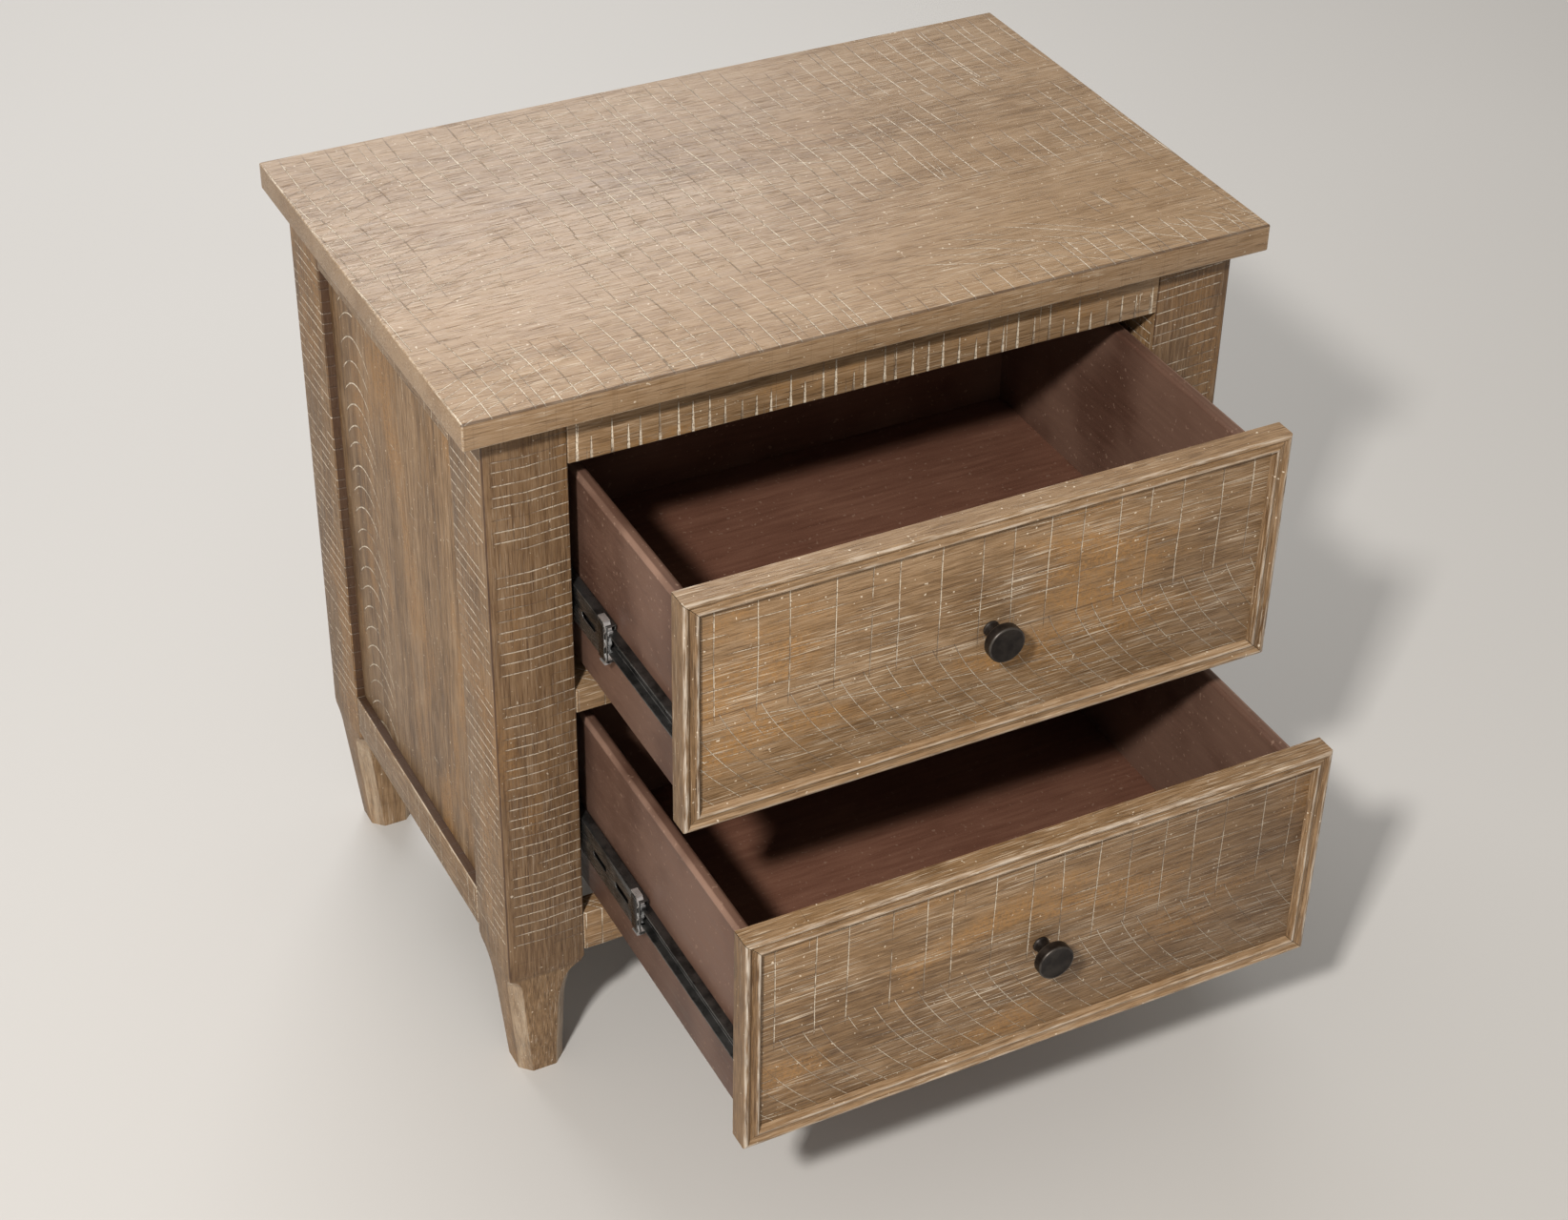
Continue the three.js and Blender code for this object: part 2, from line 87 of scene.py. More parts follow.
class Nodes:
    """A short way to build one material's node tree. Numbers and sockets mix freely."""

    def __init__(self, name):
        self.material = bpy.data.materials.new(name)
        self.material.use_nodes = True
        self.tree = self.material.node_tree
        self.tree.nodes.clear()
        self.output = self.tree.nodes.new("ShaderNodeOutputMaterial")
        self.shader = self.tree.nodes.new("ShaderNodeBsdfPrincipled")
        self.link(self.shader.outputs[0], self.output.inputs["Surface"])
        self.place = self.tree.nodes.new("ShaderNodeTexCoord").outputs["Object"]

    def link(self, source, target):
        self.tree.links.new(source, target)

    def feed(self, value, target):
        if isinstance(value, bpy.types.NodeSocket):
            self.link(value, target)
        else:
            target.default_value = value

    def math(self, operation, a, b=0.0):
        node = self.tree.nodes.new("ShaderNodeMath")
        node.operation = operation
        for value, target in zip((a, b), node.inputs):
            self.feed(value, target)
        return node.outputs[0]

    def add(self, a, b):
        return self.math("ADD", a, b)

    def sub(self, a, b):
        return self.math("SUBTRACT", a, b)

    def mul(self, a, b):
        return self.math("MULTIPLY", a, b)

    def most(self, a, b):
        return self.math("MAXIMUM", a, b)

    def axes(self):
        node = self.tree.nodes.new("ShaderNodeSeparateXYZ")
        self.link(self.place, node.inputs[0])
        return node.outputs[0], node.outputs[1], node.outputs[2]

    def combine(self, x, y, z):
        node = self.tree.nodes.new("ShaderNodeCombineXYZ")
        for value, target in zip((x, y, z), node.inputs):
            self.feed(value, target)
        return node.outputs[0]

    def stretch(self, scales, offset=(0, 0, 0)):
        node = self.tree.nodes.new("ShaderNodeMapping")
        self.link(self.place, node.inputs["Vector"])
        node.inputs["Scale"].default_value = scales
        node.inputs["Location"].default_value = offset
        return node.outputs[0]

    def noise(self, vector, scale=1.0, detail=2.0, roughness=0.5, distortion=0.0):
        node = self.tree.nodes.new("ShaderNodeTexNoise")
        self.link(vector, node.inputs["Vector"])
        node.inputs["Scale"].default_value = scale
        node.inputs["Detail"].default_value = detail
        node.inputs["Roughness"].default_value = roughness
        node.inputs["Distortion"].default_value = distortion
        return node.outputs[0]

    def random(self, value):
        node = self.tree.nodes.new("ShaderNodeTexWhiteNoise")
        node.noise_dimensions = "1D"
        self.feed(value, node.inputs["W"])
        return node.outputs["Value"]

    def fade(self, value, low, high, to_low=0.0, to_high=1.0):
        """Smooth step of value from low..high onto to_low..to_high."""
        node = self.tree.nodes.new("ShaderNodeMapRange")
        node.interpolation_type = "SMOOTHSTEP"
        for given, target in zip((value, low, high, to_low, to_high), node.inputs):
            self.feed(given, target)
        return node.outputs[0]

    def mix(self, amount, a, b):
        node = self.tree.nodes.new("ShaderNodeMix")
        node.data_type = "RGBA"
        self.feed(amount, node.inputs[0])
        self.feed(a if not isinstance(a, tuple) else (*a, 1.0), node.inputs[6])
        self.feed(b if not isinstance(b, tuple) else (*b, 1.0), node.inputs[7])
        return node.outputs[2]

    def ramp(self, value, stops):
        node = self.tree.nodes.new("ShaderNodeValToRGB")
        self.link(value, node.inputs[0])
        while len(node.color_ramp.elements) < len(stops):
            node.color_ramp.elements.new(0.5)
        for element, (place, colour) in zip(node.color_ramp.elements, stops):
            element.position = place
            element.color = (*colour, 1.0)
        return node.outputs[0]

    def attribute(self, name):
        node = self.tree.nodes.new("ShaderNodeAttribute")
        node.attribute_name = name
        return node.outputs["Fac"]

    def bump(self, height, distance, strength):
        node = self.tree.nodes.new("ShaderNodeBump")
        node.inputs["Strength"].default_value = strength
        node.inputs["Distance"].default_value = distance
        self.link(height, node.inputs["Height"])
        self.link(node.outputs[0], self.shader.inputs["Normal"])

    def finish(self, colour, roughness, metallic=0.0):
        self.feed(colour, self.shader.inputs["Base Color"])
        self.feed(roughness, self.shader.inputs["Roughness"])
        self.shader.inputs["Metallic"].default_value = metallic
        return self.material


def saw_lines(n, across, along, spacing, width, cover, seed, wander=1.0):
    """Thin broken lines left by a saw: a new line every spacing of across, running along."""
    wobble = n.noise(n.combine(n.mul(across, 30), n.mul(along, 11), seed), 1.0, 2.0)
    shifted = n.add(across, n.mul(n.sub(wobble, 0.5), 0.22 * spacing * wander))
    cell = n.math("DIVIDE", shifted, spacing)
    index = n.math("FLOOR", cell)
    jitter = n.mul(n.sub(n.random(n.add(index, seed)), 0.5), 0.4 * wander)
    off = n.math("ABSOLUTE", n.sub(n.sub(n.math("FRACT", cell), 0.5), jitter))
    breaks = n.noise(n.combine(n.mul(index, 5.7), n.mul(along, 12), seed + 4), 1.0, 2.5, 0.6)
    gone = 0.74 - 0.42 * cover
    present = n.fade(breaks, gone, gone + 0.12)
    uneven = n.noise(n.combine(n.mul(index, 3.1), n.mul(along, 210), seed), 1.0, 2.0)
    half = n.mul(n.mul(width / spacing, n.add(0.3, uneven)), n.add(n.mul(present, 0.7), 0.3))
    line = n.fade(off, n.mul(half, 0.4), half, 1.0, 0.0)
    return n.mul(line, present)


# ---------------------------------------------------------------- oak

GREY_OAK = (0.330, 0.220, 0.128)
TAN_OAK = (0.240, 0.147, 0.074)
BROWN_OAK = (0.160, 0.092, 0.042)
DARK_OAK = (0.080, 0.042, 0.019)
OCHRE_OAK = (0.33, 0.170, 0.055)
# Dark colour for stains, dark arrises and glued joints, and for painted shade in recesses and on
# the drawer fronts.
STAIN_AND_SHADE = (0.052, 0.025, 0.014)
LIME = (0.70, 0.60, 0.47)
GREY_LIME = (0.66, 0.59, 0.50)


def no_mask(n):
    """Stands in where a part has no stain or painted shade of its own."""
    return 0.0


def oak(name, grain, marks, seed, haze, ochre, worn_amount, tint=1.0, roughness=0.5, figure=0.4,
        worn_colour=LIME, stain_and_shade=no_mask, lime=0.8, streak_run=30.0, lift=0.0, bands=9.0):
    """Weathered limed oak. grain is the axis it runs along; marks adds the saw lines."""
    n = Nodes(name)

    def run(along_scale, cross_scale, shift):
        scales = [cross_scale] * 3
        scales["XYZ".index(grain)] = along_scale
        return n.stretch(scales, (shift + seed, shift * 0.7 - seed, shift * 1.3 + seed))

    def swing(value, amount):
        return n.mul(n.sub(value, 0.5), amount)

    broad = n.noise(run(1.5, bands, 3.0), 1.0, 2.5, 0.5, 0.6)
    streak = n.noise(run(6.0, 170, 7.0), 1.0, 3.0, 0.6, 0.3)
    fine = n.noise(run(40, 860, 1.0), 1.0, 3.0, 0.65)
    cloud = n.noise(n.stretch((26, 26, 26), (seed, 4, 1)), 1.0, 3.0, 0.6)
    warp = n.noise(run(2.2, 7, 9.0), 1.0, 2.0, 0.5)
    cross = n.noise(run(0.9, 24, 5.0), 1.0, 2.0, 0.5, 1.2)
    rings = n.math("SINE", n.mul(n.add(cross, n.mul(warp, 0.8)), 46))
    tone = n.add(0.5 + lift, swing(broad, 0.35))
    tone = n.add(tone, n.add(swing(streak, 0.20), swing(fine, 0.70)))
    tone = n.add(tone, n.add(n.mul(rings, 0.035 * figure), swing(cloud, 0.22)))
    colour = n.ramp(tone, [(0.30, DARK_OAK), (0.43, BROWN_OAK), (0.55, TAN_OAK), (0.70, GREY_OAK)])
    warm = n.fade(n.noise(run(5.5, 17, 13.0), 1.0, 3.0, 0.6), 0.50, 0.66)
    grit = n.noise(n.stretch((380, 380, 380), (2, seed, 6)), 1.0, 2.0, 0.6)
    warm = n.mul(warm, n.fade(grit, 0.40, 0.60, 0.35, 1.0))
    colour = n.mix(n.mul(warm, ochre), colour, OCHRE_OAK)

    # Lime left in the open pores: short pale dashes along the grain, in patches.
    patch = n.fade(n.noise(run(5, 16, 21.0), 1.0, 3.0, 0.6), 0.36, 0.62)
    dash = n.fade(n.noise(run(streak_run, 800, 17.0), 1.0, 2.0, 0.7), 0.54, 0.70)
    colour = n.mix(n.mul(n.mul(patch, dash), haze), colour, LIME)
    pore = n.fade(n.noise(run(30, 720, 31.0), 1.0, 2.0, 0.6), 0.30, 0.43, 1.0, 0.0)
    colour = n.mix(n.mul(pore, 0.5), colour, DARK_OAK)

    # Each saw line is a dark groove, filled with lime in beads along its length.
    lines = marks(n)
    beads = n.noise(n.stretch((430, 430, 430), (seed, 7, 3)), 1.0, 2.0, 0.6)
    patchy = n.noise(n.stretch((34, 34, 34), (seed, 1, 9)), 1.0, 2.0, 0.6)
    fill = n.mul(n.fade(beads, 0.34, 0.52, 0.25, 1.0), n.fade(patchy, 0.34, 0.56, 0.2, 1.0))
    groove = n.fade(lines, 0.0, 0.35, 0.0, 1.0)
    colour = n.mix(n.mul(groove, 0.62), colour, DARK_OAK)
    colour = n.mix(n.mul(n.fade(lines, 0.2, 0.8), n.mul(fill, lime)), colour, LIME)

    # Worn arrises, broken up along the grain.
    wear_and_highlight_level = n.attribute("wear_and_highlight")
    nicks = n.fade(n.noise(run(38, 640, 11.0), 1.0, 3.0, 0.65), 0.36, 0.66)
    colour = n.mix(n.mul(n.mul(wear_and_highlight_level, nicks), worn_amount), colour, worn_colour)
    # Chamfers lightened: partly planed wood, partly a painted highlight.
    planed_and_highlight = n.mul(n.attribute("planed_and_highlight"), n.fade(streak, 0.3, 0.7, 0.12, 0.34))
    colour = n.mix(planed_and_highlight, colour, LIME)
    speck = n.fade(n.noise(n.stretch((300, 300, 300), (9, seed, 1)), 1.0, 1.0, 0.5), 0.735, 0.775)
    colour = n.mix(n.mul(speck, 0.75), colour, LIME)
    # The part's mask mixes in the dark colour: stains, and painted shade where the part has it.
    colour = n.mix(stain_and_shade(n), colour, STAIN_AND_SHADE)
    if tint != 1.0:
        colour = n.mix(1.0 - tint, colour, (0.02, 0.008, 0.003))

    height = n.add(n.mul(fine, 0.6), n.mul(streak, 0.4))
    height = n.sub(height, n.mul(pore, 0.6))
    height = n.sub(height, n.mul(lines, 1.2))
    n.bump(height, 0.0004, 0.8)
    gloss = n.add(n.mul(n.sub(streak, 0.5), 0.22), roughness)
    n.shader.inputs["Specular IOR Level"].default_value = 0.38
    return n.finish(colour, n.add(gloss, n.mul(lines, 0.2)))


def no_marks(n):
    """Hidden wood: only a few faint scratches."""
    x, y, z = n.axes()
    lines = saw_lines(n, n.add(x, n.add(y, z)), n.sub(x, y), spacing=0.05, width=0.0005,
                      cover=0.2, seed=3.0)
    return n.mul(lines, 0.4)


BOARD_WIDTH = 0.114


def top_marks(n):
    """Lines across the boards, bowed like the path of a round blade, in clusters."""
    x, y, z = n.axes()
    cell = n.math("DIVIDE", n.add(y, TOP_FRONT), BOARD_WIDTH)
    board = n.math("FLOOR", cell)
    local = n.math("FRACT", cell)
    turn = n.sub(n.random(n.add(board, 8.0)), 0.5)
    bow = n.mul(n.math("POWER", n.sub(local, 0.4), 2.0), n.mul(turn, 0.06))
    across = n.add(n.add(x, bow), n.add(n.mul(y, 0.05), n.mul(n.random(board), 0.02)))
    cluster = n.fade(n.noise(n.stretch((4.5, 7.5, 1), (4, 1, 0)), 1.0, 2.0, 0.5), 0.37, 0.47)
    run = n.mul(y, 0.55)
    first = saw_lines(n, across, run, spacing=0.0185, width=0.00095, cover=1.15, seed=2.0,
                      wander=0.7)
    pair = saw_lines(n, n.add(across, 0.004), run, spacing=0.037, width=0.0009, cover=0.6,
                     seed=44.0)
    # A band of long bowed cuts that runs out along the boards.
    sweep = n.add(y, n.mul(n.math("POWER", n.add(x, 0.10), 2.0), 1.1))
    band = n.fade(n.noise(n.stretch((3.2, 9, 1), (7, 5, 0)), 1.0, 1.0, 0.5), 0.48, 0.60)
    long_cut = saw_lines(n, sweep, n.mul(x, 0.6), spacing=0.013, width=0.0008, cover=0.8,
                         seed=11.0)
    along = saw_lines(n, n.add(y, n.mul(x, 0.02)), x, spacing=0.019, width=0.0006, cover=0.4,
                      seed=23.0)
    slanted = saw_lines(n, n.add(x, n.mul(y, -0.18)), y, spacing=0.031, width=0.0006,
                        cover=0.35, seed=37.0)
    strong = n.most(n.mul(n.most(first, pair), cluster), n.mul(long_cut, band))
    lines = n.most(strong, n.most(n.mul(along, 0.6), slanted))
    flat = n.fade(z, TOP_HEIGHT - 0.0015, TOP_HEIGHT - 0.0005, 0.10, 1.0)
    shy = n.fade(n.sub(TOP_BACK, y), 0.006, 0.022, 0.15, 1.0)
    return n.mul(lines, n.mul(n.mul(flat, shy), 0.95))


def top_stain(n):
    """The front arris is dark and the edge below it a shade deeper than the face."""
    _, y, z = n.axes()
    at_front = n.fade(y, -TOP_FRONT + 0.0014, -TOP_FRONT + 0.0022, 1.0, 0.0)
    arris = n.mul(at_front, n.fade(z, TOP_HEIGHT - 0.0020, TOP_HEIGHT - 0.0012))
    edge = n.fade(y, -TOP_FRONT + 0.0001, -TOP_FRONT + 0.0004, 1.0, 0.0)
    return n.most(n.mul(arris, 0.72), n.mul(edge, 0.16))


def leg_marks(n):
    """Level cuts on both faces that stop short of the corner."""
    x, y, z = n.axes()
    reach = n.math("ABSOLUTE", x)
    on_front = n.fade(y, -LEG_FRONT + 0.0005, -LEG_FRONT + 0.0015, 1.0, 0.0)
    inset = n.sub(LEG_OUTER, reach)
    shy_x = n.fade(inset, 0.004, 0.010)
    shy_y = n.fade(y, -LEG_FRONT + 0.003, -LEG_FRONT + 0.007)
    shy = n.add(n.mul(on_front, shy_x), n.mul(n.sub(1.0, on_front), shy_y))
    across = n.add(z, n.mul(n.math("ABSOLUTE", n.add(x, 0.3)), -0.06))
    run = n.add(n.mul(x, 1.0), n.mul(y, 1.7))
    calm = n.fade(z, 0.135, 0.175, 0.10, 1.0)
    lines = saw_lines(n, across, n.mul(run, 0.7), spacing=0.0106, width=0.00105, cover=0.95,
                      seed=5.0, wander=0.55)
    lines = n.mul(n.mul(lines, shy), n.sub(1.0, n.mul(on_front, 0.28)))
    upright = saw_lines(n, n.add(x, y), z, spacing=0.019, width=0.0004, cover=0.15, seed=31.0)
    return n.mul(n.most(lines, n.mul(upright, 0.4)), calm)


def leg_stain_and_shade(n):
    """Painted shade in the returns beside the side panels; dark front arrises; the front faces
    darker.
    """
    x, y, z = n.axes()
    reach = n.math("ABSOLUTE", x)
    inside = n.fade(reach, LEG_OUTER - 0.0015, LEG_OUTER - 0.0008, 1.0, 0.0)
    back_return = n.mul(n.fade(y, BACK_RETURN - 0.0005, BACK_RETURN - 0.0002),
                        n.fade(y, BACK_RETURN + 0.0008, BACK_RETURN + 0.0012, 1.0, 0.0))
    front_return = n.mul(n.fade(y, FRONT_RETURN - 0.0012, FRONT_RETURN - 0.0008),
                         n.fade(y, FRONT_RETURN + 0.0002, FRONT_RETURN + 0.0006, 1.0, 0.0))
    above = n.fade(z, LEDGE - 0.001, LEDGE + 0.001)
    # Painted shade: the returns beside the panels are darkened as recesses in shadow.
    returns = n.mul(n.mul(inside, above), n.add(back_return, front_return))
    front = n.mul(n.fade(y, -LEG_FRONT + 0.0004, -LEG_FRONT + 0.0010, 1.0, 0.0), 0.33)
    arris = n.mul(n.fade(n.sub(LEG_OUTER, reach), 0.0009, 0.0017, 1.0, 0.0),
                  n.fade(n.add(y, LEG_FRONT), 0.0009, 0.0017, 1.0, 0.0))
    arris = n.mul(arris, n.fade(z, CHAMFER_TOP, CHAMFER_TOP + 0.01, 0.0, 0.8))
    return n.most(n.most(n.mul(returns, 0.9), front), arris)


RAIL_CUT_PITCH = 0.0139


def top_rail_marks(n):
    """Upright cuts that start at the lower edge and end at different heights."""
    x, _, z = n.axes()
    cell = n.math("DIVIDE", x, RAIL_CUT_PITCH)
    index = n.math("FLOOR", cell)
    chance = n.random(n.add(index, 6.0))
    jitter = n.mul(n.sub(n.random(n.add(index, 19.0)), 0.5), 0.35)
    lean = n.mul(n.sub(z, TOP_RAIL_LOW), n.mul(n.sub(chance, 0.5), 1.2))
    off = n.math("ABSOLUTE", n.sub(n.add(n.sub(n.math("FRACT", cell), 0.5), lean), jitter))
    rise = n.math("DIVIDE", n.sub(z, TOP_RAIL_LOW), n.add(0.019, n.mul(chance, 0.024)))
    rough = n.noise(n.combine(n.mul(index, 7), n.mul(z, 190), 2.0), 1.0, 2.0, 0.6)
    half = n.mul(n.sub(1.2, rise), n.add(0.035, n.mul(rough, 0.14)))
    line = n.fade(off, n.mul(half, 0.45), n.most(half, 0.002), 1.0, 0.0)
    line = n.mul(line, n.fade(rise, 0.8, 1.0, 1.0, 0.0))
    thin = saw_lines(n, x, z, spacing=0.0105, width=0.0005, cover=0.55, seed=12.0)
    return n.most(line, n.mul(thin, 0.7))


def rail_marks(n):
    """Upright cuts across the rails that lie between and below the drawers."""
    x, y, z = n.axes()
    lines = saw_lines(n, n.add(x, y), z, spacing=0.0115, width=0.0009, cover=0.8, seed=9.0)
    return n.mul(lines, 0.8)


def side_rail_marks(n):
    """Two sets of upright cuts across the rails below and above the side panels."""
    _, y, z = n.axes()
    first = saw_lines(n, y, z, spacing=0.0135, width=0.0010, cover=0.8, seed=33.0)
    second = saw_lines(n, y, z, spacing=0.0082, width=0.0007, cover=0.6, seed=35.0)
    return n.most(first, n.mul(second, 0.8))


def ledge_painted_shade(n):
    """Painted shade: the ledge in front of the panel is darkened as a recess in shadow, up to its
    pale outer arris.
    """
    x, _, z = n.axes()
    on_top = n.mul(n.fade(z, LEDGE - 0.0008, LEDGE - 0.0003),
                   n.fade(z, LEDGE + 0.023, LEDGE + 0.033, 1.0, 0.0))
    inside = n.fade(n.math("ABSOLUTE", x), LEG_OUTER - 0.0015, LEG_OUTER - 0.0007, 1.0, 0.0)
    return n.mul(n.mul(on_top, inside), 0.92)


ARCH_MIDDLE = 0.254


def side_panel_marks(n):
    """Arched saw marks in an upright band towards the back, and fine scratches beside it."""
    _, y, z = n.axes()
    off = n.sub(y, ARCH_MIDDLE)
    arch = n.add(z, n.mul(n.mul(off, off), 17.0))
    band = n.fade(n.math("ABSOLUTE", off), 0.028, 0.040, 1.0, 0.0)
    lines = saw_lines(n, arch, n.mul(y, 0.6), spacing=0.0215, width=0.0014, cover=1.0,
                      seed=15.0, wander=0.7)
    scratch = saw_lines(n, y, z, spacing=0.011, width=0.0006, cover=0.42, seed=19.0)
    ticks = saw_lines(n, z, n.mul(y, 2.6), spacing=0.0098, width=0.0006, cover=0.42, seed=29.0)
    beside = n.most(scratch, n.mul(ticks, n.sub(1.0, band)))
    return n.most(n.mul(lines, band), n.mul(beside, 0.8))


JOINT_BELOW_MIDDLE = 0.006


def front_joint(middle_z):
    """Height of the glued joint across a drawer front."""
    return middle_z - JOINT_BELOW_MIDDLE


def front_marks(middle_z):
    """Upright lines above the glued joint; closer ones that sweep to the right below it."""

    def marks(n):
        x, _, z = n.axes()
        joint = front_joint(middle_z)
        below = n.most(n.sub(joint + 0.004, z), 0.0)
        sweep = n.add(n.mul(below, 0.42), n.mul(n.mul(below, below), 3.4))
        low = n.fade(z, joint - 0.001, joint + 0.002, 1.0, 0.0)
        high = n.sub(1.0, n.fade(z, joint - 0.014, joint + 0.012, 1.0, 0.0))
        upright = saw_lines(n, x, n.mul(z, 0.7), spacing=0.031, width=0.00082, cover=1.05,
                            seed=7.0, wander=0.8)
        thin = saw_lines(n, x, z, spacing=0.0155, width=0.0006, cover=0.3, seed=17.0)
        swept = saw_lines(n, n.sub(x, sweep), n.mul(z, 0.8), spacing=0.0205, width=0.0007,
                          cover=1.0, seed=14.0, wander=0.8)
        rows = n.add(z, n.mul(x, 0.03))
        level = saw_lines(n, rows, x, spacing=0.0095, width=0.0006, cover=0.62, seed=27.0)
        cross = n.add(rows, n.mul(n.sub(x, sweep), 0.10))
        scales = saw_lines(n, cross, x, spacing=0.017, width=0.0006, cover=0.7, seed=5.0)
        above = n.mul(n.most(upright, n.mul(thin, 0.8)), high)
        beneath = n.mul(n.most(swept, n.mul(scales, 0.75)), low)
        return n.most(n.most(above, beneath), n.mul(level, 0.75))

    return marks


def front_seam_and_shade(middle_z, depth):
    """The glued joint is a fine dark line; painted shade darkens the right-hand end by depth."""

    def stain_and_shade(n):
        x, _, z = n.axes()
        bend = n.mul(n.sub(n.noise(n.stretch((9, 9, 9)), 1.0, 2.0), 0.5), 0.003)
        off = n.math("ABSOLUTE", n.sub(n.add(z, bend), front_joint(middle_z)))
        seam = n.fade(off, 0.0003, 0.0010, 0.55, 0.0)
        # Painted shade grows towards the right-hand end.
        return n.most(seam, n.fade(x, -0.1, 0.26, 0.0, depth))

    return stain_and_shade


def moulding_marks(n):
    """A few faint scratches across the mouldings."""
    x, y, z = n.axes()
    lines = saw_lines(n, n.add(x, z), y, spacing=0.034, width=0.0005, cover=0.25, seed=41.0)
    return n.mul(lines, 0.5)


# ---------------------------------------------------------------- other materials


def lacquered(name, grain, seed, depth):
    """Red-brown satin lacquer over fine board."""
    n = Nodes(name)
    scales = [240.0] * 3
    scales["XYZ".index(grain)] = 18.0
    streak = n.noise(n.stretch(scales, (seed, 3, 8)), 1.0, 3.0, 0.6)
    cloud = n.noise(n.stretch((7, 7, 7), (seed, 1, 2)), 1.0, 3.0, 0.55)
    grit = n.noise(n.stretch((900, 900, 900), (5, seed, 2)), 1.0, 2.0, 0.6)
    tone = n.add(n.mul(streak, 0.45), n.add(n.mul(cloud, 0.4), n.mul(grit, 0.25)))
    stops = [(0.36, (0.062, 0.026, 0.016)), (0.54, (0.094, 0.042, 0.027)),
             (0.72, (0.128, 0.062, 0.040))]
    colour = n.ramp(tone, [(place, tuple(depth * c for c in shade)) for place, shade in stops])
    fleck = n.fade(n.noise(n.stretch((260, 260, 260), (seed, 6, 4)), 1.0, 1.0), 0.69, 0.74)
    colour = n.mix(n.mul(fleck, 0.4), colour, (0.33, 0.22, 0.16))
    wear_and_highlight_level = n.attribute("wear_and_highlight")
    # Worn edges, and the painted highlight along the top edges of the drawer walls, lighten the
    # lacquer.
    colour = n.mix(n.mul(wear_and_highlight_level, n.fade(cloud, 0.35, 0.6, 0.15, 0.7)), colour, (0.33, 0.205, 0.15))
    n.bump(n.add(n.mul(streak, 0.6), n.mul(grit, 0.5)), 0.0002, 0.6)
    n.shader.inputs["Specular IOR Level"].default_value = 0.27
    return n.finish(colour, n.add(0.42, n.mul(n.sub(streak, 0.3), 0.3)))


def plywood(name):
    """Plain veneered board with upright grain, for the back."""
    n = Nodes(name)
    streak = n.noise(n.stretch((90, 90, 3.5)), 1.0, 4.0, 0.6, 0.4)
    figure = n.noise(n.stretch((9, 9, 0.9)), 1.0, 2.0, 0.5, 0.8)
    rings = n.math("SINE", n.mul(figure, 62))
    fine = n.noise(n.stretch((700, 700, 22)), 1.0, 2.0, 0.6)
    tone = n.add(n.mul(streak, 0.6), n.add(n.mul(rings, 0.07), n.mul(fine, 0.35)))
    colour = n.ramp(tone, [(0.34, (0.17, 0.098, 0.052)), (0.5, (0.3, 0.19, 0.108)),
                           (0.68, (0.4, 0.28, 0.175))])
    n.bump(n.add(streak, n.mul(fine, 0.6)), 0.0002, 0.6)
    return n.finish(colour, n.add(0.55, n.mul(fine, 0.2)))


def metal(name, dark, light, roughness, metallic, brush, edge):
    """Metal with clouded tone, brushed scratches and brighter edges: rubbed on the bronze and
    zinc, a painted highlight on the black slides.
    """
    n = Nodes(name)
    cloud = n.noise(n.stretch((60, 60, 60)), 1.0, 3.0, 0.6)
    scratch = n.noise(n.stretch(brush), 1.0, 2.0, 0.7)
    colour = n.mix(n.fade(cloud, 0.35, 0.68), dark, light)
    colour = n.mix(n.mul(n.attribute("wear_and_highlight"), n.fade(cloud, 0.3, 0.6, 0.25, 0.85)), colour, edge)
    n.bump(n.add(scratch, n.mul(cloud, 0.4)), 0.00012, 0.5)
    gloss = n.add(roughness, n.mul(n.sub(scratch, 0.5), 0.25))
    return n.finish(colour, gloss, metallic)


# ---------------------------------------------------------------- geometry helpers


def place_piece(name, mesh, body, nodes, slot, material, smooth=30):
    """Links a finished mesh, puts it on its body and hides the CAD nodes it stands in for."""
    for polygon in mesh.polygons:
        polygon.use_smooth = True
    mesh.set_sharp_from_angle(angle=math.radians(smooth))
    mesh.materials.clear()
    mesh.materials.append(material)
    piece = bpy.data.objects.new(name, mesh)
    bpy.context.scene.collection.objects.link(piece)
    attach(piece, body)
    if nodes:
        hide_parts(*nodes)
    return piece


def set_wear_and_highlight(mesh, values):
    attribute = mesh.attributes.new("wear_and_highlight", "FLOAT", "POINT")
    attribute.data.foreach_set("value", values)


def body_of(node):
    return frame["nodes"][node]["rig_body"]


def rounded_box(low, high, radius, segments=3):
    """A box mesh with rounded edges; the edge mark is 1 on the round and 0 on the flats: wear on
    wood, a painted highlight on the slide plates.
    """
    bm = bmesh.new()
    middle = [(a + b) / 2 for a, b in zip(low, high)]
    size = [b - a for a, b in zip(low, high)]
    place = Matrix.Translation(middle) @ Matrix.Diagonal((*size, 1))
    bmesh.ops.create_cube(bm, size=1, matrix=place)
    bmesh.ops.bevel(bm, geom=bm.edges[:], offset=radius, offset_type="OFFSET",
                    segments=segments, profile=0.5, affect="EDGES")
    mesh = bpy.data.meshes.new("rounded_box")
    bm.to_mesh(mesh)
    bm.free()
    values = []
    for vertex in mesh.vertices:
        gaps = [min(vertex.co[a] - low[a], high[a] - vertex.co[a]) for a in range(3)]
        values.append(0.0 if min(gaps) < 0.02 * radius else 1.0)
    set_wear_and_highlight(mesh, values)
    return mesh


def board(node, radius, material, slot="oak", segments=3):
    """Stands a box with rounded edges in for a plain rectangular CAD node."""
    low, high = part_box(node)
    mesh = rounded_box(low, high, radius, segments)
    return place_piece(f"{node}_detail", mesh, body_of(node), [node], slot, material)


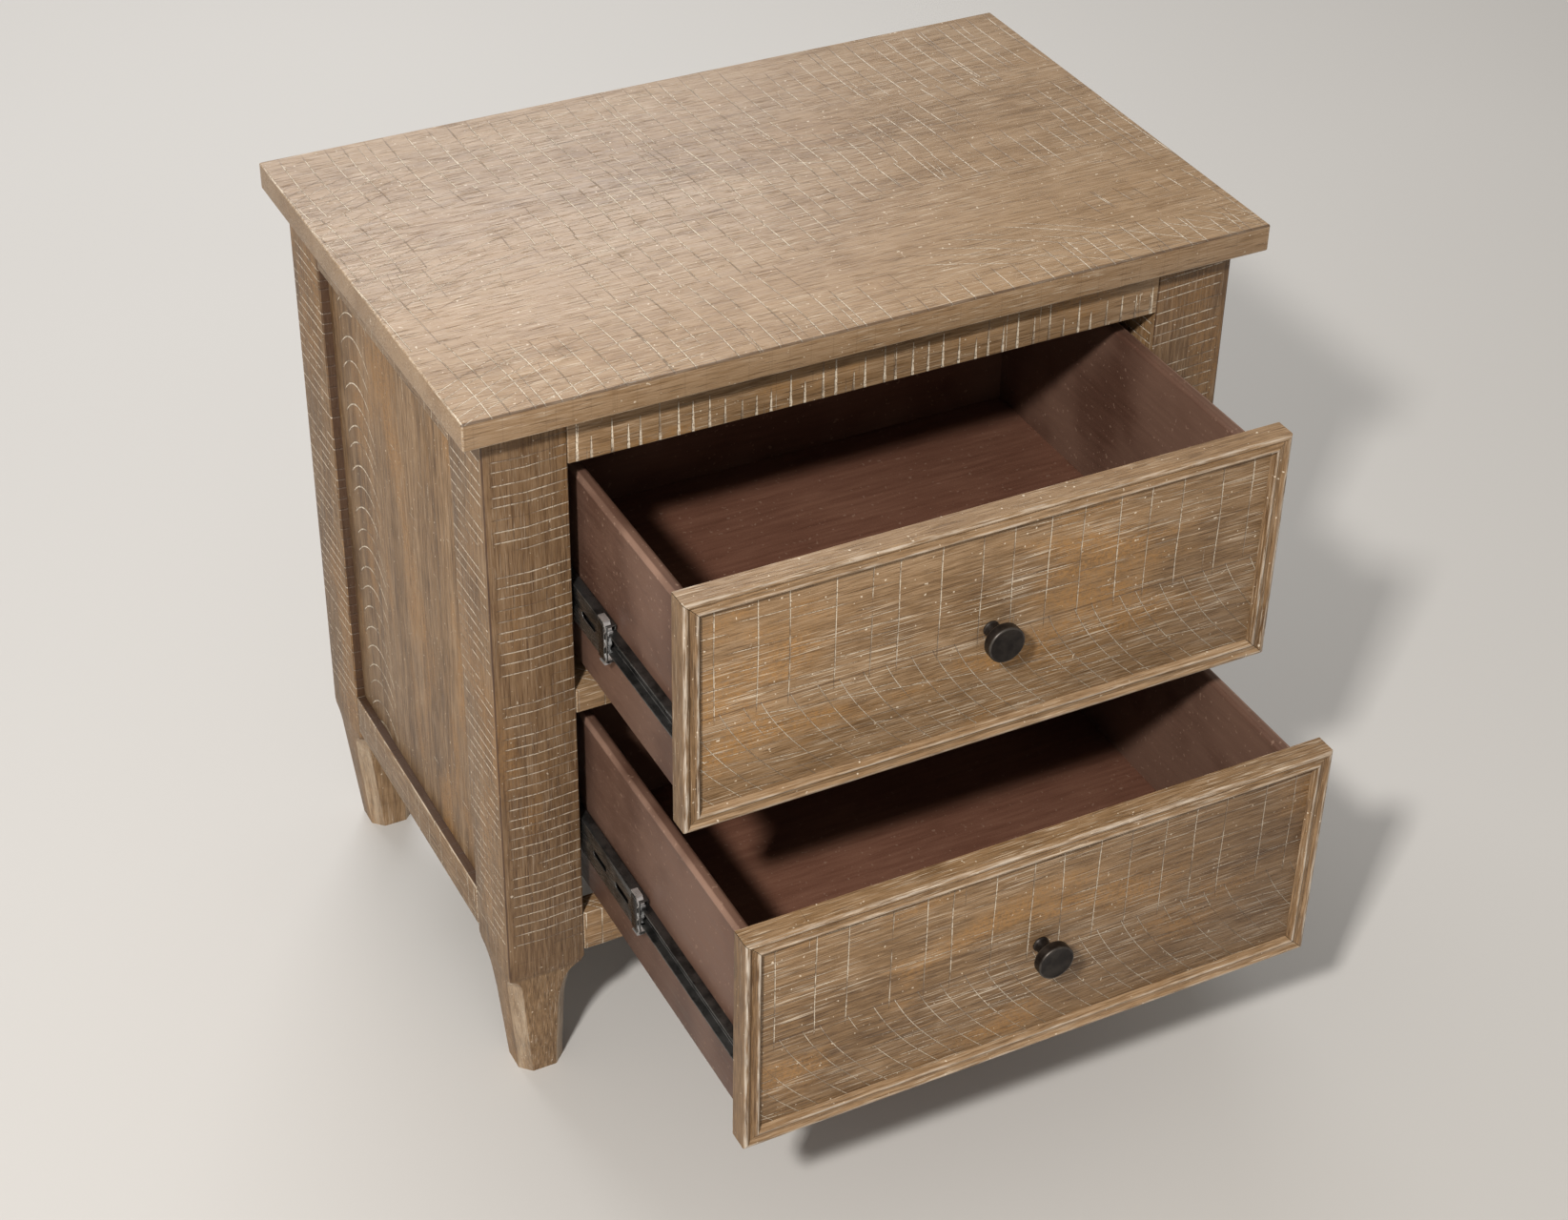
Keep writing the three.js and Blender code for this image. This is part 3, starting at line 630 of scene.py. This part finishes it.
def skin(rings, wear_values):
    """Quads between rings of points, capped at both ends."""
    count = len(rings[0])
    vertices = [point for ring in rings for point in ring]
    faces = []
    for level in range(len(rings) - 1):
        for i in range(count):
            a, b = level * count + i, level * count + (i + 1) % count
            faces.append((a, b, b + count, a + count))
    faces.append(tuple(range(count))[::-1])
    last = (len(rings) - 1) * count
    faces.append(tuple(range(last, last + count)))
    mesh = bpy.data.meshes.new("skin")
    mesh.from_pydata(vertices, [], faces)
    bm = bmesh.new()
    bm.from_mesh(mesh)
    bmesh.ops.recalc_face_normals(bm, faces=bm.faces[:])
    bm.to_mesh(mesh)
    bm.free()
    set_wear_and_highlight(mesh, wear_values)
    return mesh


def bevelled_copy(node, width, segments=2, angle=35):
    """The CAD node's shape with its sharp edges rounded; the edge mark is 1 on the new rounds:
    wear on wood, a painted highlight on the black slides.
    """
    source = frame["nodes"][node]
    bm = bmesh.new()
    bm.from_mesh(source.data)
    bmesh.ops.remove_doubles(bm, verts=bm.verts[:], dist=1e-6)
    bmesh.ops.dissolve_limit(bm, angle_limit=math.radians(1), verts=bm.verts[:],
                             edges=bm.edges[:])
    sharp = [e for e in bm.edges if len(e.link_faces) == 2
             and e.calc_face_angle(0) > math.radians(angle)]
    done = bmesh.ops.bevel(bm, geom=sharp, offset=width, offset_type="OFFSET",
                           segments=segments, profile=0.5, affect="EDGES", clamp_overlap=True)
    rounds = set(done["faces"])
    mesh = bpy.data.meshes.new("bevelled")
    bm.verts.index_update()
    values = [0.0] * len(bm.verts)
    for vertex in bm.verts:
        on_round = [face in rounds for face in vertex.link_faces]
        if on_round and all(on_round):
            values[vertex.index] = 1.0
        elif any(on_round):
            values[vertex.index] = 0.35
    bm.to_mesh(mesh)
    bm.free()
    set_wear_and_highlight(mesh, values)
    return mesh


# ---------------------------------------------------------------- legs

FOOT_TAPER_TOP = 0.130
FOOT_CURVE_END = 0.072
FOOT_OUTER_INSET = 0.012
FOOT_CURVE_INSET = 0.015
FOOT_INNER_INSET = 0.016
FOOT_CHAMFER = 0.010
CHAMFER_FULL = 0.108
ARRIS = 0.0009
ARRIS_SOFT = 0.0006
FOOT_STEP = 0.00145


def outer_inset(z):
    return FOOT_OUTER_INSET * max(0.0, 1 - z / FOOT_TAPER_TOP)


def inner_inset(z):
    if z >= FOOT_TAPER_TOP:
        return 0.0
    if z <= FOOT_CURVE_END:
        return FOOT_CURVE_INSET + (FOOT_INNER_INSET - FOOT_CURVE_INSET) * (1 - z / FOOT_CURVE_END)
    down = (FOOT_TAPER_TOP - z) / (FOOT_TAPER_TOP - FOOT_CURVE_END)
    return FOOT_CURVE_INSET * (1 - (1 - down) ** 2.2)


def corner_cut(z):
    if z >= CHAMFER_TOP:
        return ARRIS
    if z <= CHAMFER_FULL:
        return FOOT_CHAMFER
    up = (z - CHAMFER_FULL) / (CHAMFER_TOP - CHAMFER_FULL)
    return max(ARRIS, FOOT_CHAMFER * math.sqrt(1 - up * up))


def leg_ring(box_low, box_high, side_x, side_y, z):
    """Sixteen points round the leg: each corner is a cut with softened edges."""
    outs = {-1: (box_low, 1), 1: (box_high, -1)}
    limits = []
    for axis, side in ((0, side_x), (1, side_y)):
        outer = outs[side][0][axis] + outs[side][1] * outer_inset(z)
        inner = outs[-side][0][axis] + outs[-side][1] * inner_inset(z)
        limits.append(sorted((outer, inner)))
    (x0, x1), (y0, y1) = limits
    cut = corner_cut(z)
    near, far = cut + ARRIS_SOFT, cut - 0.6 * ARRIS_SOFT
    low = 0.45 * ARRIS_SOFT
    return [
        (x0 + near, y0, z), (x1 - near, y0, z), (x1 - far, y0 + low, z), (x1 - low, y0 + far, z),
        (x1, y0 + near, z), (x1, y1 - near, z), (x1 - low, y1 - far, z), (x1 - far, y1 - low, z),
        (x1 - near, y1, z), (x0 + near, y1, z), (x0 + far, y1 - low, z), (x0 + low, y1 - far, z),
        (x0, y1 - near, z), (x0, y0 + near, z), (x0 + low, y0 + far, z), (x0 + far, y0 + low, z),
    ]


def build_leg(node, side_x, side_y, material):
    """A square post whose foot tapers and is chamfered; an attribute marks the chamfers, lightened
    partly as planed wood and partly as a painted highlight.
    """
    low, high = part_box(node)
    heights = [0.0, 0.001, FOOT_CURVE_END / 2]
    z = FOOT_CURVE_END
    while z < FOOT_TAPER_TOP + FOOT_STEP:
        heights.append(z)
        z += FOOT_STEP
    heights += [0.3, 0.45, 0.6, high[2]]
    rings = [leg_ring(low, high, side_x, side_y, z) for z in heights]
    wear_and_highlight = []
    for z in heights:
        on_arris = 1 if z > CHAMFER_TOP else 0
        wear_and_highlight += [0, 0, on_arris, on_arris] * 4
    mesh = skin(rings, wear_and_highlight)
    planed_and_highlight = mesh.attributes.new("planed_and_highlight", "FLOAT", "POINT")
    for index, item in enumerate(planed_and_highlight.data):
        on_corner = index % 4 >= 2
        height = heights[index // len(rings[0])]
        item.value = 1.0 if on_corner and height <= CHAMFER_TOP else 0.0
    place_piece(f"{node}_detail", mesh, body_of(node), [node], "oak", material, 38)


# ---------------------------------------------------------------- drawer fronts

FRONT_THICK = 0.020
PANEL_THICK = 0.015
MOULDING = 0.016
MITRE_GAP = 0.0003


def moulding_section():
    """(inwards from the outer edge, forwards from the back, wear) round the moulding."""
    points = [(0.0, 0.0, 0.0), (16.0, 0.0, 0.0), (16.0, 15.0, 0.0)]

    def arc(centre_u, centre_v, radius, start, stop, steps, wear_and_highlight):
        for i in range(steps + 1):
            turn = math.radians(start + (stop - start) * i / steps)
            points.append((centre_u + radius * math.cos(turn),
                           centre_v + radius * math.sin(turn), wear_and_highlight(i / steps)))

    arc(16.0, 18.0, 2.4, -110, -180, 7, lambda t: 0.0)
    arc(12.0, 18.5, 1.5, 10, 170, 9, lambda t: math.sin(math.pi * t) * 0.9)
    points += [(10.2, 18.7, 0.0), (7.4, 18.7, 0.0)]
    arc(6.5, 18.8, 0.9, -20, -160, 6, lambda t: 0.0)
    arc(2.8, 17.2, 2.8, 60, 180, 12, lambda t: 0.95 * math.sin(math.pi * min(1, t * 1.1)))
    return points


def build_moulding(node, turn, distance, length, front_y, middle_z, material):
    """One mitred length of the frame round a drawer front; turn says which side it is."""
    section = moulding_section()
    rings, wear_and_highlight = [], []
    for end in (-1.0, -0.5, 0.0, 0.5, 1.0):
        ring = []
        for u, v, wear_and_highlight_level in section:
            reach = length / 2 - u * MM - MITRE_GAP
            local = Vector((end * reach, u * MM - distance, v * MM))
            local = Matrix.Rotation(math.radians(turn), 3, "Z") @ local
            ring.append((local.x, front_y + FRONT_THICK - local.z, middle_z + local.y))
            wear_and_highlight.append(wear_and_highlight_level)
        rings.append(ring)
    mesh = skin(rings, wear_and_highlight)
    place_piece(f"{node}_detail", mesh, body_of(node), [node], "oak", material, 32)


def build_knob(node, material):
    """A turned knob. Its profile is (radius, distance out from the front, wear), in mm."""
    low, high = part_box(node)
    axis_x, axis_z = (low[0] + high[0]) / 2, (low[2] + high[2]) / 2
    profile = [(7.0, 0.0, 0), (7.0, 1.0, 0.6), (6.7, 1.5, 0.4), (6.3, 2.5, 0), (5.9, 4.0, 0),
               (5.8, 5.6, 0), (5.8, 7.5, 0), (5.9, 9.4, 0), (6.1, 11.0, 0), (6.7, 12.4, 0),
               (7.9, 13.4, 0), (10.4, 14.3, 0), (13.0, 14.9, 0), (14.6, 15.4, 0.2),
               (15.4, 16.0, 0.6), (15.75, 16.7, 0.8), (15.8, 17.6, 0.1), (15.8, 22.8, 0.1),
               (15.85, 23.6, 0.8), (15.7, 24.3, 1.0), (15.2, 24.8, 1.0), (14.5, 24.98, 0.5),
               (13.9, 24.9, 0.0), (13.5, 24.8, 0), (8.0, 24.8, 0), (3.0, 24.8, 0), (0.4, 24.8, 0)]
    count = 72
    rings, wear_and_highlight = [], []
    for radius, out, wear_and_highlight_level in profile:
        ring = []
        for i in range(count):
            turn = 2 * math.pi * i / count
            ring.append((axis_x + radius * MM * math.cos(turn), high[1] - out * MM,
                         axis_z + radius * MM * math.sin(turn)))
            wear_and_highlight.append(wear_and_highlight_level)
        rings.append(ring)
    mesh = skin(rings, wear_and_highlight)
    place_piece(f"{node}_detail", mesh, body_of(node), [node], "bronze", material, 40)


ROUND_LEAST = 0.0001
ROUND_MOST = 0.004


def paint_top_edge_highlights(mesh, box, across):
    """Paints a highlight along the top edge rounds of a drawer wall: full on the outer round,
    faint on the inner; across is its thickness axis.
    """
    low, high = box
    attribute = mesh.attributes["wear_and_highlight"]
    for vertex, item in zip(mesh.vertices, attribute.data):
        side_gap = min(vertex.co[across] - low[across], high[across] - vertex.co[across])
        drop = high[2] - vertex.co[2]
        if ROUND_LEAST < side_gap < ROUND_MOST and ROUND_LEAST < drop < ROUND_MOST:
            outer = abs(vertex.co[across]) > abs(low[across] + high[across]) / 2
            item.value = 1.0 if outer else 0.2


def build_drawer(level, looks):
    """A drawer's front, its frame, its box, its knob and the knob's screw."""
    panel_low, panel_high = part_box(f"{level}_front_panel")
    front_y = panel_low[1] - (FRONT_THICK - PANEL_THICK)
    middle_z = (panel_low[2] + panel_high[2]) / 2
    board(f"{level}_front_panel", 0.0003, looks[f"panel_{level}"])
    half_width = panel_high[0] + MOULDING
    half_height = (panel_high[2] - panel_low[2]) / 2 + MOULDING
    for word, turn, distance, length in (
        ("bottom", 0, half_height, 2 * half_width), ("right", 90, half_width, 2 * half_height),
        ("top", 180, half_height, 2 * half_width), ("left", 270, half_width, 2 * half_height),
    ):
        look = looks["moulding_x"] if word in ("top", "bottom") else looks["moulding_z"]
        build_moulding(f"{level}_moulding_{word}", turn, distance, length, front_y, middle_z,
                       look)
    for word in ("left", "right", "front", "back"):
        look = looks["box_y"] if word in ("left", "right") else looks["box_x"]
        node = f"{level}_box_{word}"
        mesh = bevelled_copy(node, 0.0006, 2, 50)
        paint_top_edge_highlights(mesh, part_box(node), 0 if word in ("left", "right") else 1)
        place_piece(f"{node}_detail", mesh, body_of(node), [node], "drawer_wood", look, 30)
    board(f"{level}_bottom_panel", 0.0004, looks["box_bottom"], "drawer_wood")
    build_knob(f"{level}_knob", looks["bronze"])
    node = f"{level}_knob_screw"
    mesh = bevelled_copy(node, 0.0003, 2, 50)
    place_piece(f"{node}_detail", mesh, body_of(node), [node], "zinc", looks["zinc"])


# ---------------------------------------------------------------- slides

SLIDE_ROUND = 0.0004
SLIDE_SCREWS = (0.028, 0.092, 0.220, 0.316)
BALL_RADIUS = 0.0023
BALL_PITCH = 0.0062
BALL_ROW_LENGTH = 0.12
BALL_RISE = 0.01315
PLATE_THICK = 0.001
PLATE_HALF_HEIGHT = 0.0172
STRIP_THICK = 0.0009
STRIP_WAVE = 0.0018
STRIP_BOW = 0.0028
LUG_HALF_HEIGHT = 0.0022

def pan_head(bm, centre, direction, radius, height):
    """Adds a domed screw head with a cross recess, standing along direction."""
    rings = [(1.0, 0.0), (1.0, 0.25), (0.93, 0.55), (0.78, 0.8), (0.55, 0.95), (0.3, 1.0)]
    turn = Vector((0, 0, 1)).rotation_difference(Vector(direction)).to_matrix()
    count = 20
    rows = []
    for share, rise in rings:
        row = []
        for i in range(count):
            angle = 2 * math.pi * i / count
            local = Vector((radius * share * math.cos(angle), radius * share * math.sin(angle),
                            height * rise))
            row.append(bm.verts.new(Vector(centre) + turn @ local))
        rows.append(row)
    for lower, upper in zip(rows, rows[1:]):
        for i in range(count):
            j = (i + 1) % count
            bm.faces.new((lower[i], lower[j], upper[j], upper[i]))
    # The recess is a sunk four-pointed star inside the last ring.
    star = []
    for i in range(count):
        angle = 2 * math.pi * i / count
        reach = 0.24 if i % 5 == 0 else 0.09
        local = Vector((radius * reach * math.cos(angle), radius * reach * math.sin(angle),
                        height * 0.45))
        star.append(bm.verts.new(Vector(centre) + turn @ local))
    for i in range(count):
        j = (i + 1) % count
        bm.faces.new((rows[-1][i], rows[-1][j], star[j], star[i]))
    bm.faces.new(star)
    bm.faces.new(rows[0][::-1])


def screws(name, body, places, direction, radius, height, material):
    """A row of screw heads as one piece."""
    bm = bmesh.new()
    for place in places:
        pan_head(bm, place, direction, radius, height)
    bmesh.ops.recalc_face_normals(bm, faces=bm.faces[:])
    mesh = bpy.data.meshes.new(name)
    bm.to_mesh(mesh)
    bm.free()
    set_wear_and_highlight(mesh, [0.0] * len(mesh.vertices))
    place_piece(name, mesh, body, [], "zinc", material, 40)


def ball_row(name, body, low_y, high_y, x, z, material):
    """A row of steel balls along y as one piece."""
    bm = bmesh.new()
    y = low_y
    while y <= high_y:
        bmesh.ops.create_icosphere(bm, subdivisions=2, radius=BALL_RADIUS,
                                   matrix=Matrix.Translation((x, y, z)))
        y += BALL_PITCH
    mesh = bpy.data.meshes.new(name)
    bm.to_mesh(mesh)
    bm.free()
    set_wear_and_highlight(mesh, [0.0] * len(mesh.vertices))
    place_piece(name, mesh, body, [], "zinc", material, 60)


def ribbon(path, thickness, low_x, high_x):
    """A bent strip: path holds (y, z) points, the strip spans low_x..high_x."""
    rings = []
    for i, (y, z) in enumerate(path):
        before, after = path[max(i - 1, 0)], path[min(i + 1, len(path) - 1)]
        along = Vector((after[0] - before[0], after[1] - before[1])).normalized()
        out = Vector((-along.y, along.x)) * (thickness / 2)
        rings.append([(low_x, y - out.x, z - out.y), (high_x, y - out.x, z - out.y),
                      (high_x, y + out.x, z + out.y), (low_x, y + out.x, z + out.y)])
    return skin(rings, [0.6, 0.6, 0.6, 0.6] * len(rings))


def build_bracket(node, side, looks):
    """A dark plate with a bright wavy strip hooked round the member's front end."""
    low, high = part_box(node)
    middle_z = (low[2] + high[2]) / 2
    half = (high[2] - low[2]) / 2
    front, back = low[1], high[1]
    outer = low[0] if side < 0 else high[0]
    deep = high[0] if side < 0 else low[0]
    inwards = -side
    plate = sorted((outer, outer + inwards * PLATE_THICK))
    mesh = rounded_box((plate[0], front + 0.003, middle_z - PLATE_HALF_HEIGHT),
                       (plate[1], back, middle_z + PLATE_HALF_HEIGHT), 0.0003)
    place_piece(f"{node}_plate", mesh, body_of(node), [], "zinc", looks["slide"], 40)
    path = []
    top = half - STRIP_THICK / 2
    for i in range(9):
        path.append((back - (back - front - 0.0035) * i / 8, top))
    steps = 48
    for i in range(1, steps):
        share = i / steps
        wave = STRIP_WAVE * math.cos(share * math.pi * 6)
        bow = STRIP_BOW - 0.0004 * math.cos(share * math.pi * 2)
        path.append((front + bow + wave, top - 2 * top * share))
    for i in range(9):
        path.append((front + 0.0035 + (back - front - 0.0045) * i / 8, -top))
    path = [(y, middle_z + z) for y, z in path]
    span = sorted((outer + inwards * 0.0002, deep - inwards * 0.0014))
    mesh = ribbon(path, STRIP_THICK, span[0], span[1])
    place_piece(f"{node}_strip", mesh, body_of(node), [node], "zinc", looks["zinc"], 40)
    # Two small lugs stand inwards from the strip, as rubbed points on the hooks.
    for tag, rise in (("top", 0.010), ("low", -0.011)):
        spot = sorted((deep - inwards * 0.0050, deep))
        mesh = rounded_box((spot[0], front + 0.0006, middle_z + rise - LUG_HALF_HEIGHT),
                           (spot[1], front + 0.0046, middle_z + rise + LUG_HALF_HEIGHT), 0.0006)
        place_piece(f"{node}_lug_{tag}", mesh, body_of(node), [], "zinc", looks["zinc"], 40)


def build_slides(level, looks):
    """Both slides of a drawer: members, brackets, screws and balls."""
    for word, side in SIDES:
        for member in ("cabinet", "middle", "drawer"):
            node = f"{level}_slide_{member}_{word}"
            mesh = bevelled_copy(node, SLIDE_ROUND)
            place_piece(f"{node}_detail", mesh, body_of(node), [node], "slide_steel",
                        looks["slide"], 40)
        build_bracket(f"{level}_slide_bracket_{word}", side, looks)

        # Screws through the drawer member, heads towards the leg.
        low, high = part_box(f"{level}_slide_drawer_{word}")
        web = high[0] if side < 0 else low[0]
        face = web + side * 0.0012
        middle_z = (low[2] + high[2]) / 2
        places = [(face, low[1] + d, middle_z) for d in SLIDE_SCREWS]
        screws(f"{level}_slide_screws_{word}", f"{level}_drawer", places, (side, 0, 0),
               0.0032, 0.0014, looks["zinc"])

        # Balls between the middle and drawer members.
        low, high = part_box(f"{level}_slide_middle_{word}")
        middle_z = (low[2] + high[2]) / 2
        x = (low[0] + high[0]) / 2 + side * -0.0003
        for tag, rise in (("top", BALL_RISE), ("low", -BALL_RISE)):
            ball_row(f"{level}_balls_{word}_{tag}", f"{level}_slide_carrier", low[1] + 0.004,
                     low[1] + BALL_ROW_LENGTH, x, middle_z + rise, looks["steel"])


# ---------------------------------------------------------------- put it all together

middles = {}
for level in LEVELS:
    low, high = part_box(f"{level}_front_panel")
    middles[level] = (low[2] + high[2]) / 2

looks = {
    # The top's pale arrises are partly worn lime and partly a painted highlight along the edges.
    "top": oak("oak_top", "X", top_marks, seed=2.0, haze=0.45, ochre=0.12, roughness=0.38,
               figure=0.6, worn_amount=0.5, stain_and_shade=top_stain, lime=0.84, lift=0.12),
    "leg": oak("oak_leg", "Z", leg_marks, seed=5.0, haze=0.25, ochre=0.5, worn_colour=STAIN_AND_SHADE,
               worn_amount=0.95, stain_and_shade=leg_stain_and_shade, lime=0.95, lift=-0.02),
    "top_rail": oak("oak_top_rail", "X", top_rail_marks, seed=8.0, haze=0.3, ochre=0.7,
                    worn_amount=0.3, lime=1.0, lift=0.07),
    "rail_x": oak("oak_rail_x", "X", rail_marks, seed=11.0, tint=0.95, haze=0.4, ochre=0.2,
                  worn_amount=0.5),
    "rail_y": oak("oak_rail_y", "Y", side_rail_marks, seed=14.0, tint=0.9, haze=0.5, ochre=0.1,
                  worn_amount=0.8, stain_and_shade=ledge_painted_shade),
    "side_panel": oak("oak_side_panel", "Z", side_panel_marks, seed=17.0, haze=0.22, ochre=0.7,
                      figure=1.5, worn_amount=0.5, lime=1.0, lift=-0.01, bands=36.0),
    "moulding_x": oak("oak_moulding_x", "X", moulding_marks, seed=20.0, haze=0.55, ochre=0.1,
                      roughness=0.45, figure=0.3, worn_colour=GREY_LIME, worn_amount=0.6,
                      lift=0.07),
    "moulding_z": oak("oak_moulding_z", "Z", moulding_marks, seed=23.0, haze=0.4, ochre=0.1,
                      roughness=0.45, figure=0.3, worn_colour=GREY_LIME, worn_amount=0.7,
                      lift=-0.06),
    "cleat": oak("oak_cleat", "Y", no_marks, seed=29.0, tint=0.8, haze=0.2, ochre=0.2,
                 roughness=0.6, worn_amount=0.5),
    # The last number makes lit and shaded copies of one lacquer: painted shade on the side walls,
    # painted light on the drawer bottoms.
    "box_x": lacquered("lacquer_x", "X", 1.0, 0.95),
    "box_y": lacquered("lacquer_y", "Y", 4.0, 0.70),
    "box_bottom": lacquered("lacquer_bottom", "X", 7.0, 1.5),
    "board": plywood("plywood"),
    # The edge colour paints highlights on the rounded edges of the black slides and their bracket
    # plates.
    "slide": metal("slide_black", (0.008, 0.008, 0.008), (0.020, 0.019, 0.018), roughness=0.28,
                   metallic=0.85, brush=(60, 20, 900), edge=(0.30, 0.29, 0.28)),
    "zinc": metal("zinc", (0.30, 0.302, 0.305), (0.74, 0.745, 0.75), roughness=0.30,
                  metallic=0.8, brush=(300, 40, 900), edge=(0.7, 0.7, 0.7)),
    "steel": metal("ball_steel", (0.42, 0.42, 0.43), (0.6, 0.6, 0.61), roughness=0.18,
                   metallic=1.0, brush=(300, 300, 300), edge=(0.6, 0.6, 0.6)),
    "bronze": metal("bronze", (0.014, 0.011, 0.010), (0.034, 0.028, 0.024), roughness=0.42,
                    metallic=0.75, brush=(420, 420, 420), edge=(0.10, 0.088, 0.078)),
}
# Painted shade: the lower front is a darker copy of the upper, and both darken towards the
# right-hand end.
for level, seed, lift, right_shade in (("upper", 31.0, 0.03, 0.05), ("lower", 37.0, -0.03, 0.33)):
    looks[f"panel_{level}"] = oak(
        f"oak_panel_{level}", "X", front_marks(middles[level]), seed=seed, haze=0.7, ochre=0.75,
        roughness=0.48, worn_amount=0.5, streak_run=16.0, lift=lift, lime=0.76,
        stain_and_shade=front_seam_and_shade(middles[level], right_shade), bands=16.0)

board("tabletop", 0.0016, looks["top"], segments=4)
for word_y, side_y in (("front", -1), ("back", 1)):
    for word_x, side_x in SIDES:
        build_leg(f"leg_{word_y}_{word_x}", side_x, side_y, looks["leg"])
board("front_top_rail", 0.0012, looks["top_rail"])
board("front_middle_rail", 0.0012, looks["rail_x"])
board("front_bottom_rail", 0.0012, looks["rail_x"])
board("back_bottom_rail", 0.0012, looks["rail_x"])
board("back_panel", 0.0004, looks["board"], "board")
for word, side in SIDES:
    board(f"side_top_rail_{word}", 0.0012, looks["rail_y"])
    board(f"side_bottom_rail_{word}", 0.0012, looks["rail_y"])
    board(f"side_panel_{word}", 0.0004, looks["side_panel"])
    for level in LEVELS:
        board(f"slide_cleat_{level}_{word}", 0.0012, looks["cleat"])
for level in LEVELS:
    build_drawer(level, looks)
    build_slides(level, looks)

# ---------------------------------------------------------------- floor, light and camera


FLOOR_SIZE = 60


def build_floor():
    bpy.ops.mesh.primitive_plane_add(size=FLOOR_SIZE, location=(0, 0, 0))
    floor = bpy.context.active_object
    floor.name = "floor"
    n = Nodes("floor_paint")
    cloud = n.noise(n.stretch((0.7, 0.7, 0.7)), 1.0, 2.0, 0.5)
    colour = n.mix(cloud, (0.50, 0.485, 0.465), (0.55, 0.535, 0.515))
    n.finish(colour, 0.6)
    floor.data.materials.append(n.material)


def area_light(name, place, target, width, height, power, colour):
    data = bpy.data.lights.new(name, "AREA")
    data.shape = "RECTANGLE"
    data.size, data.size_y = width, height
    data.energy = power
    data.color = colour
    lamp = bpy.data.objects.new(name, data)
    lamp.location = place
    aim = Vector(target) - Vector(place)
    lamp.rotation_euler = aim.to_track_quat("-Z", "Y").to_euler()
    bpy.context.scene.collection.objects.link(lamp)


CAMERA_PLACE = (-0.9631, -1.7520, 1.8325)
CAMERA_AZIMUTH, CAMERA_ELEVATION, CAMERA_ROLL = 27.573, 36.082, 1.086
CAMERA_LENS = 66.067
CAMERA_SENSOR = 36.0


def build_camera():
    """The camera looks down from the front left, level but for about one degree."""
    azimuth = math.radians(CAMERA_AZIMUTH)
    elevation = math.radians(CAMERA_ELEVATION)
    roll = math.radians(CAMERA_ROLL)
    forward = Vector((math.sin(azimuth) * math.cos(elevation),
                      math.cos(azimuth) * math.cos(elevation), -math.sin(elevation)))
    right = Vector((math.cos(azimuth), -math.sin(azimuth), 0))
    up = right.cross(forward)
    right = right * math.cos(roll) + up * math.sin(roll)
    up = right.cross(forward)
    turn = Matrix((right, up, -forward)).transposed().to_4x4()
    data = bpy.data.cameras.new("camera")
    data.sensor_width = CAMERA_SENSOR
    data.lens = CAMERA_LENS
    data.clip_start = 0.05
    camera = bpy.data.objects.new("camera", data)
    camera.matrix_world = Matrix.Translation(CAMERA_PLACE) @ turn
    bpy.context.scene.collection.objects.link(camera)
    bpy.context.scene.camera = camera


build_floor()
target = (0.0, 0.0, 0.45)
# The key stands front left, 43 degrees up, so that its shadows fall into the open drawers.
area_light("key", (-2.20, -2.25, 3.20), target, 0.26, 0.26, 178, (1.0, 0.97, 0.93))
area_light("front_soft", (-1.4, -3.2, 1.3), target, 2.4, 1.6, 13, (1.0, 0.98, 0.95))
area_light("back_sheen", (0.1, 3.0, 2.5), (0, 0.15, 0.7), 3.0, 1.3, 76, (0.97, 0.98, 1.0))
world = bpy.data.worlds.new("studio")
world.use_nodes = True
background = world.node_tree.nodes["Background"]
background.inputs["Color"].default_value = (1.0, 0.955, 0.885, 1.0)
background.inputs["Strength"].default_value = 0.385
bpy.context.scene.world = world
bpy.context.scene.view_settings.view_transform = "Standard"
build_camera()
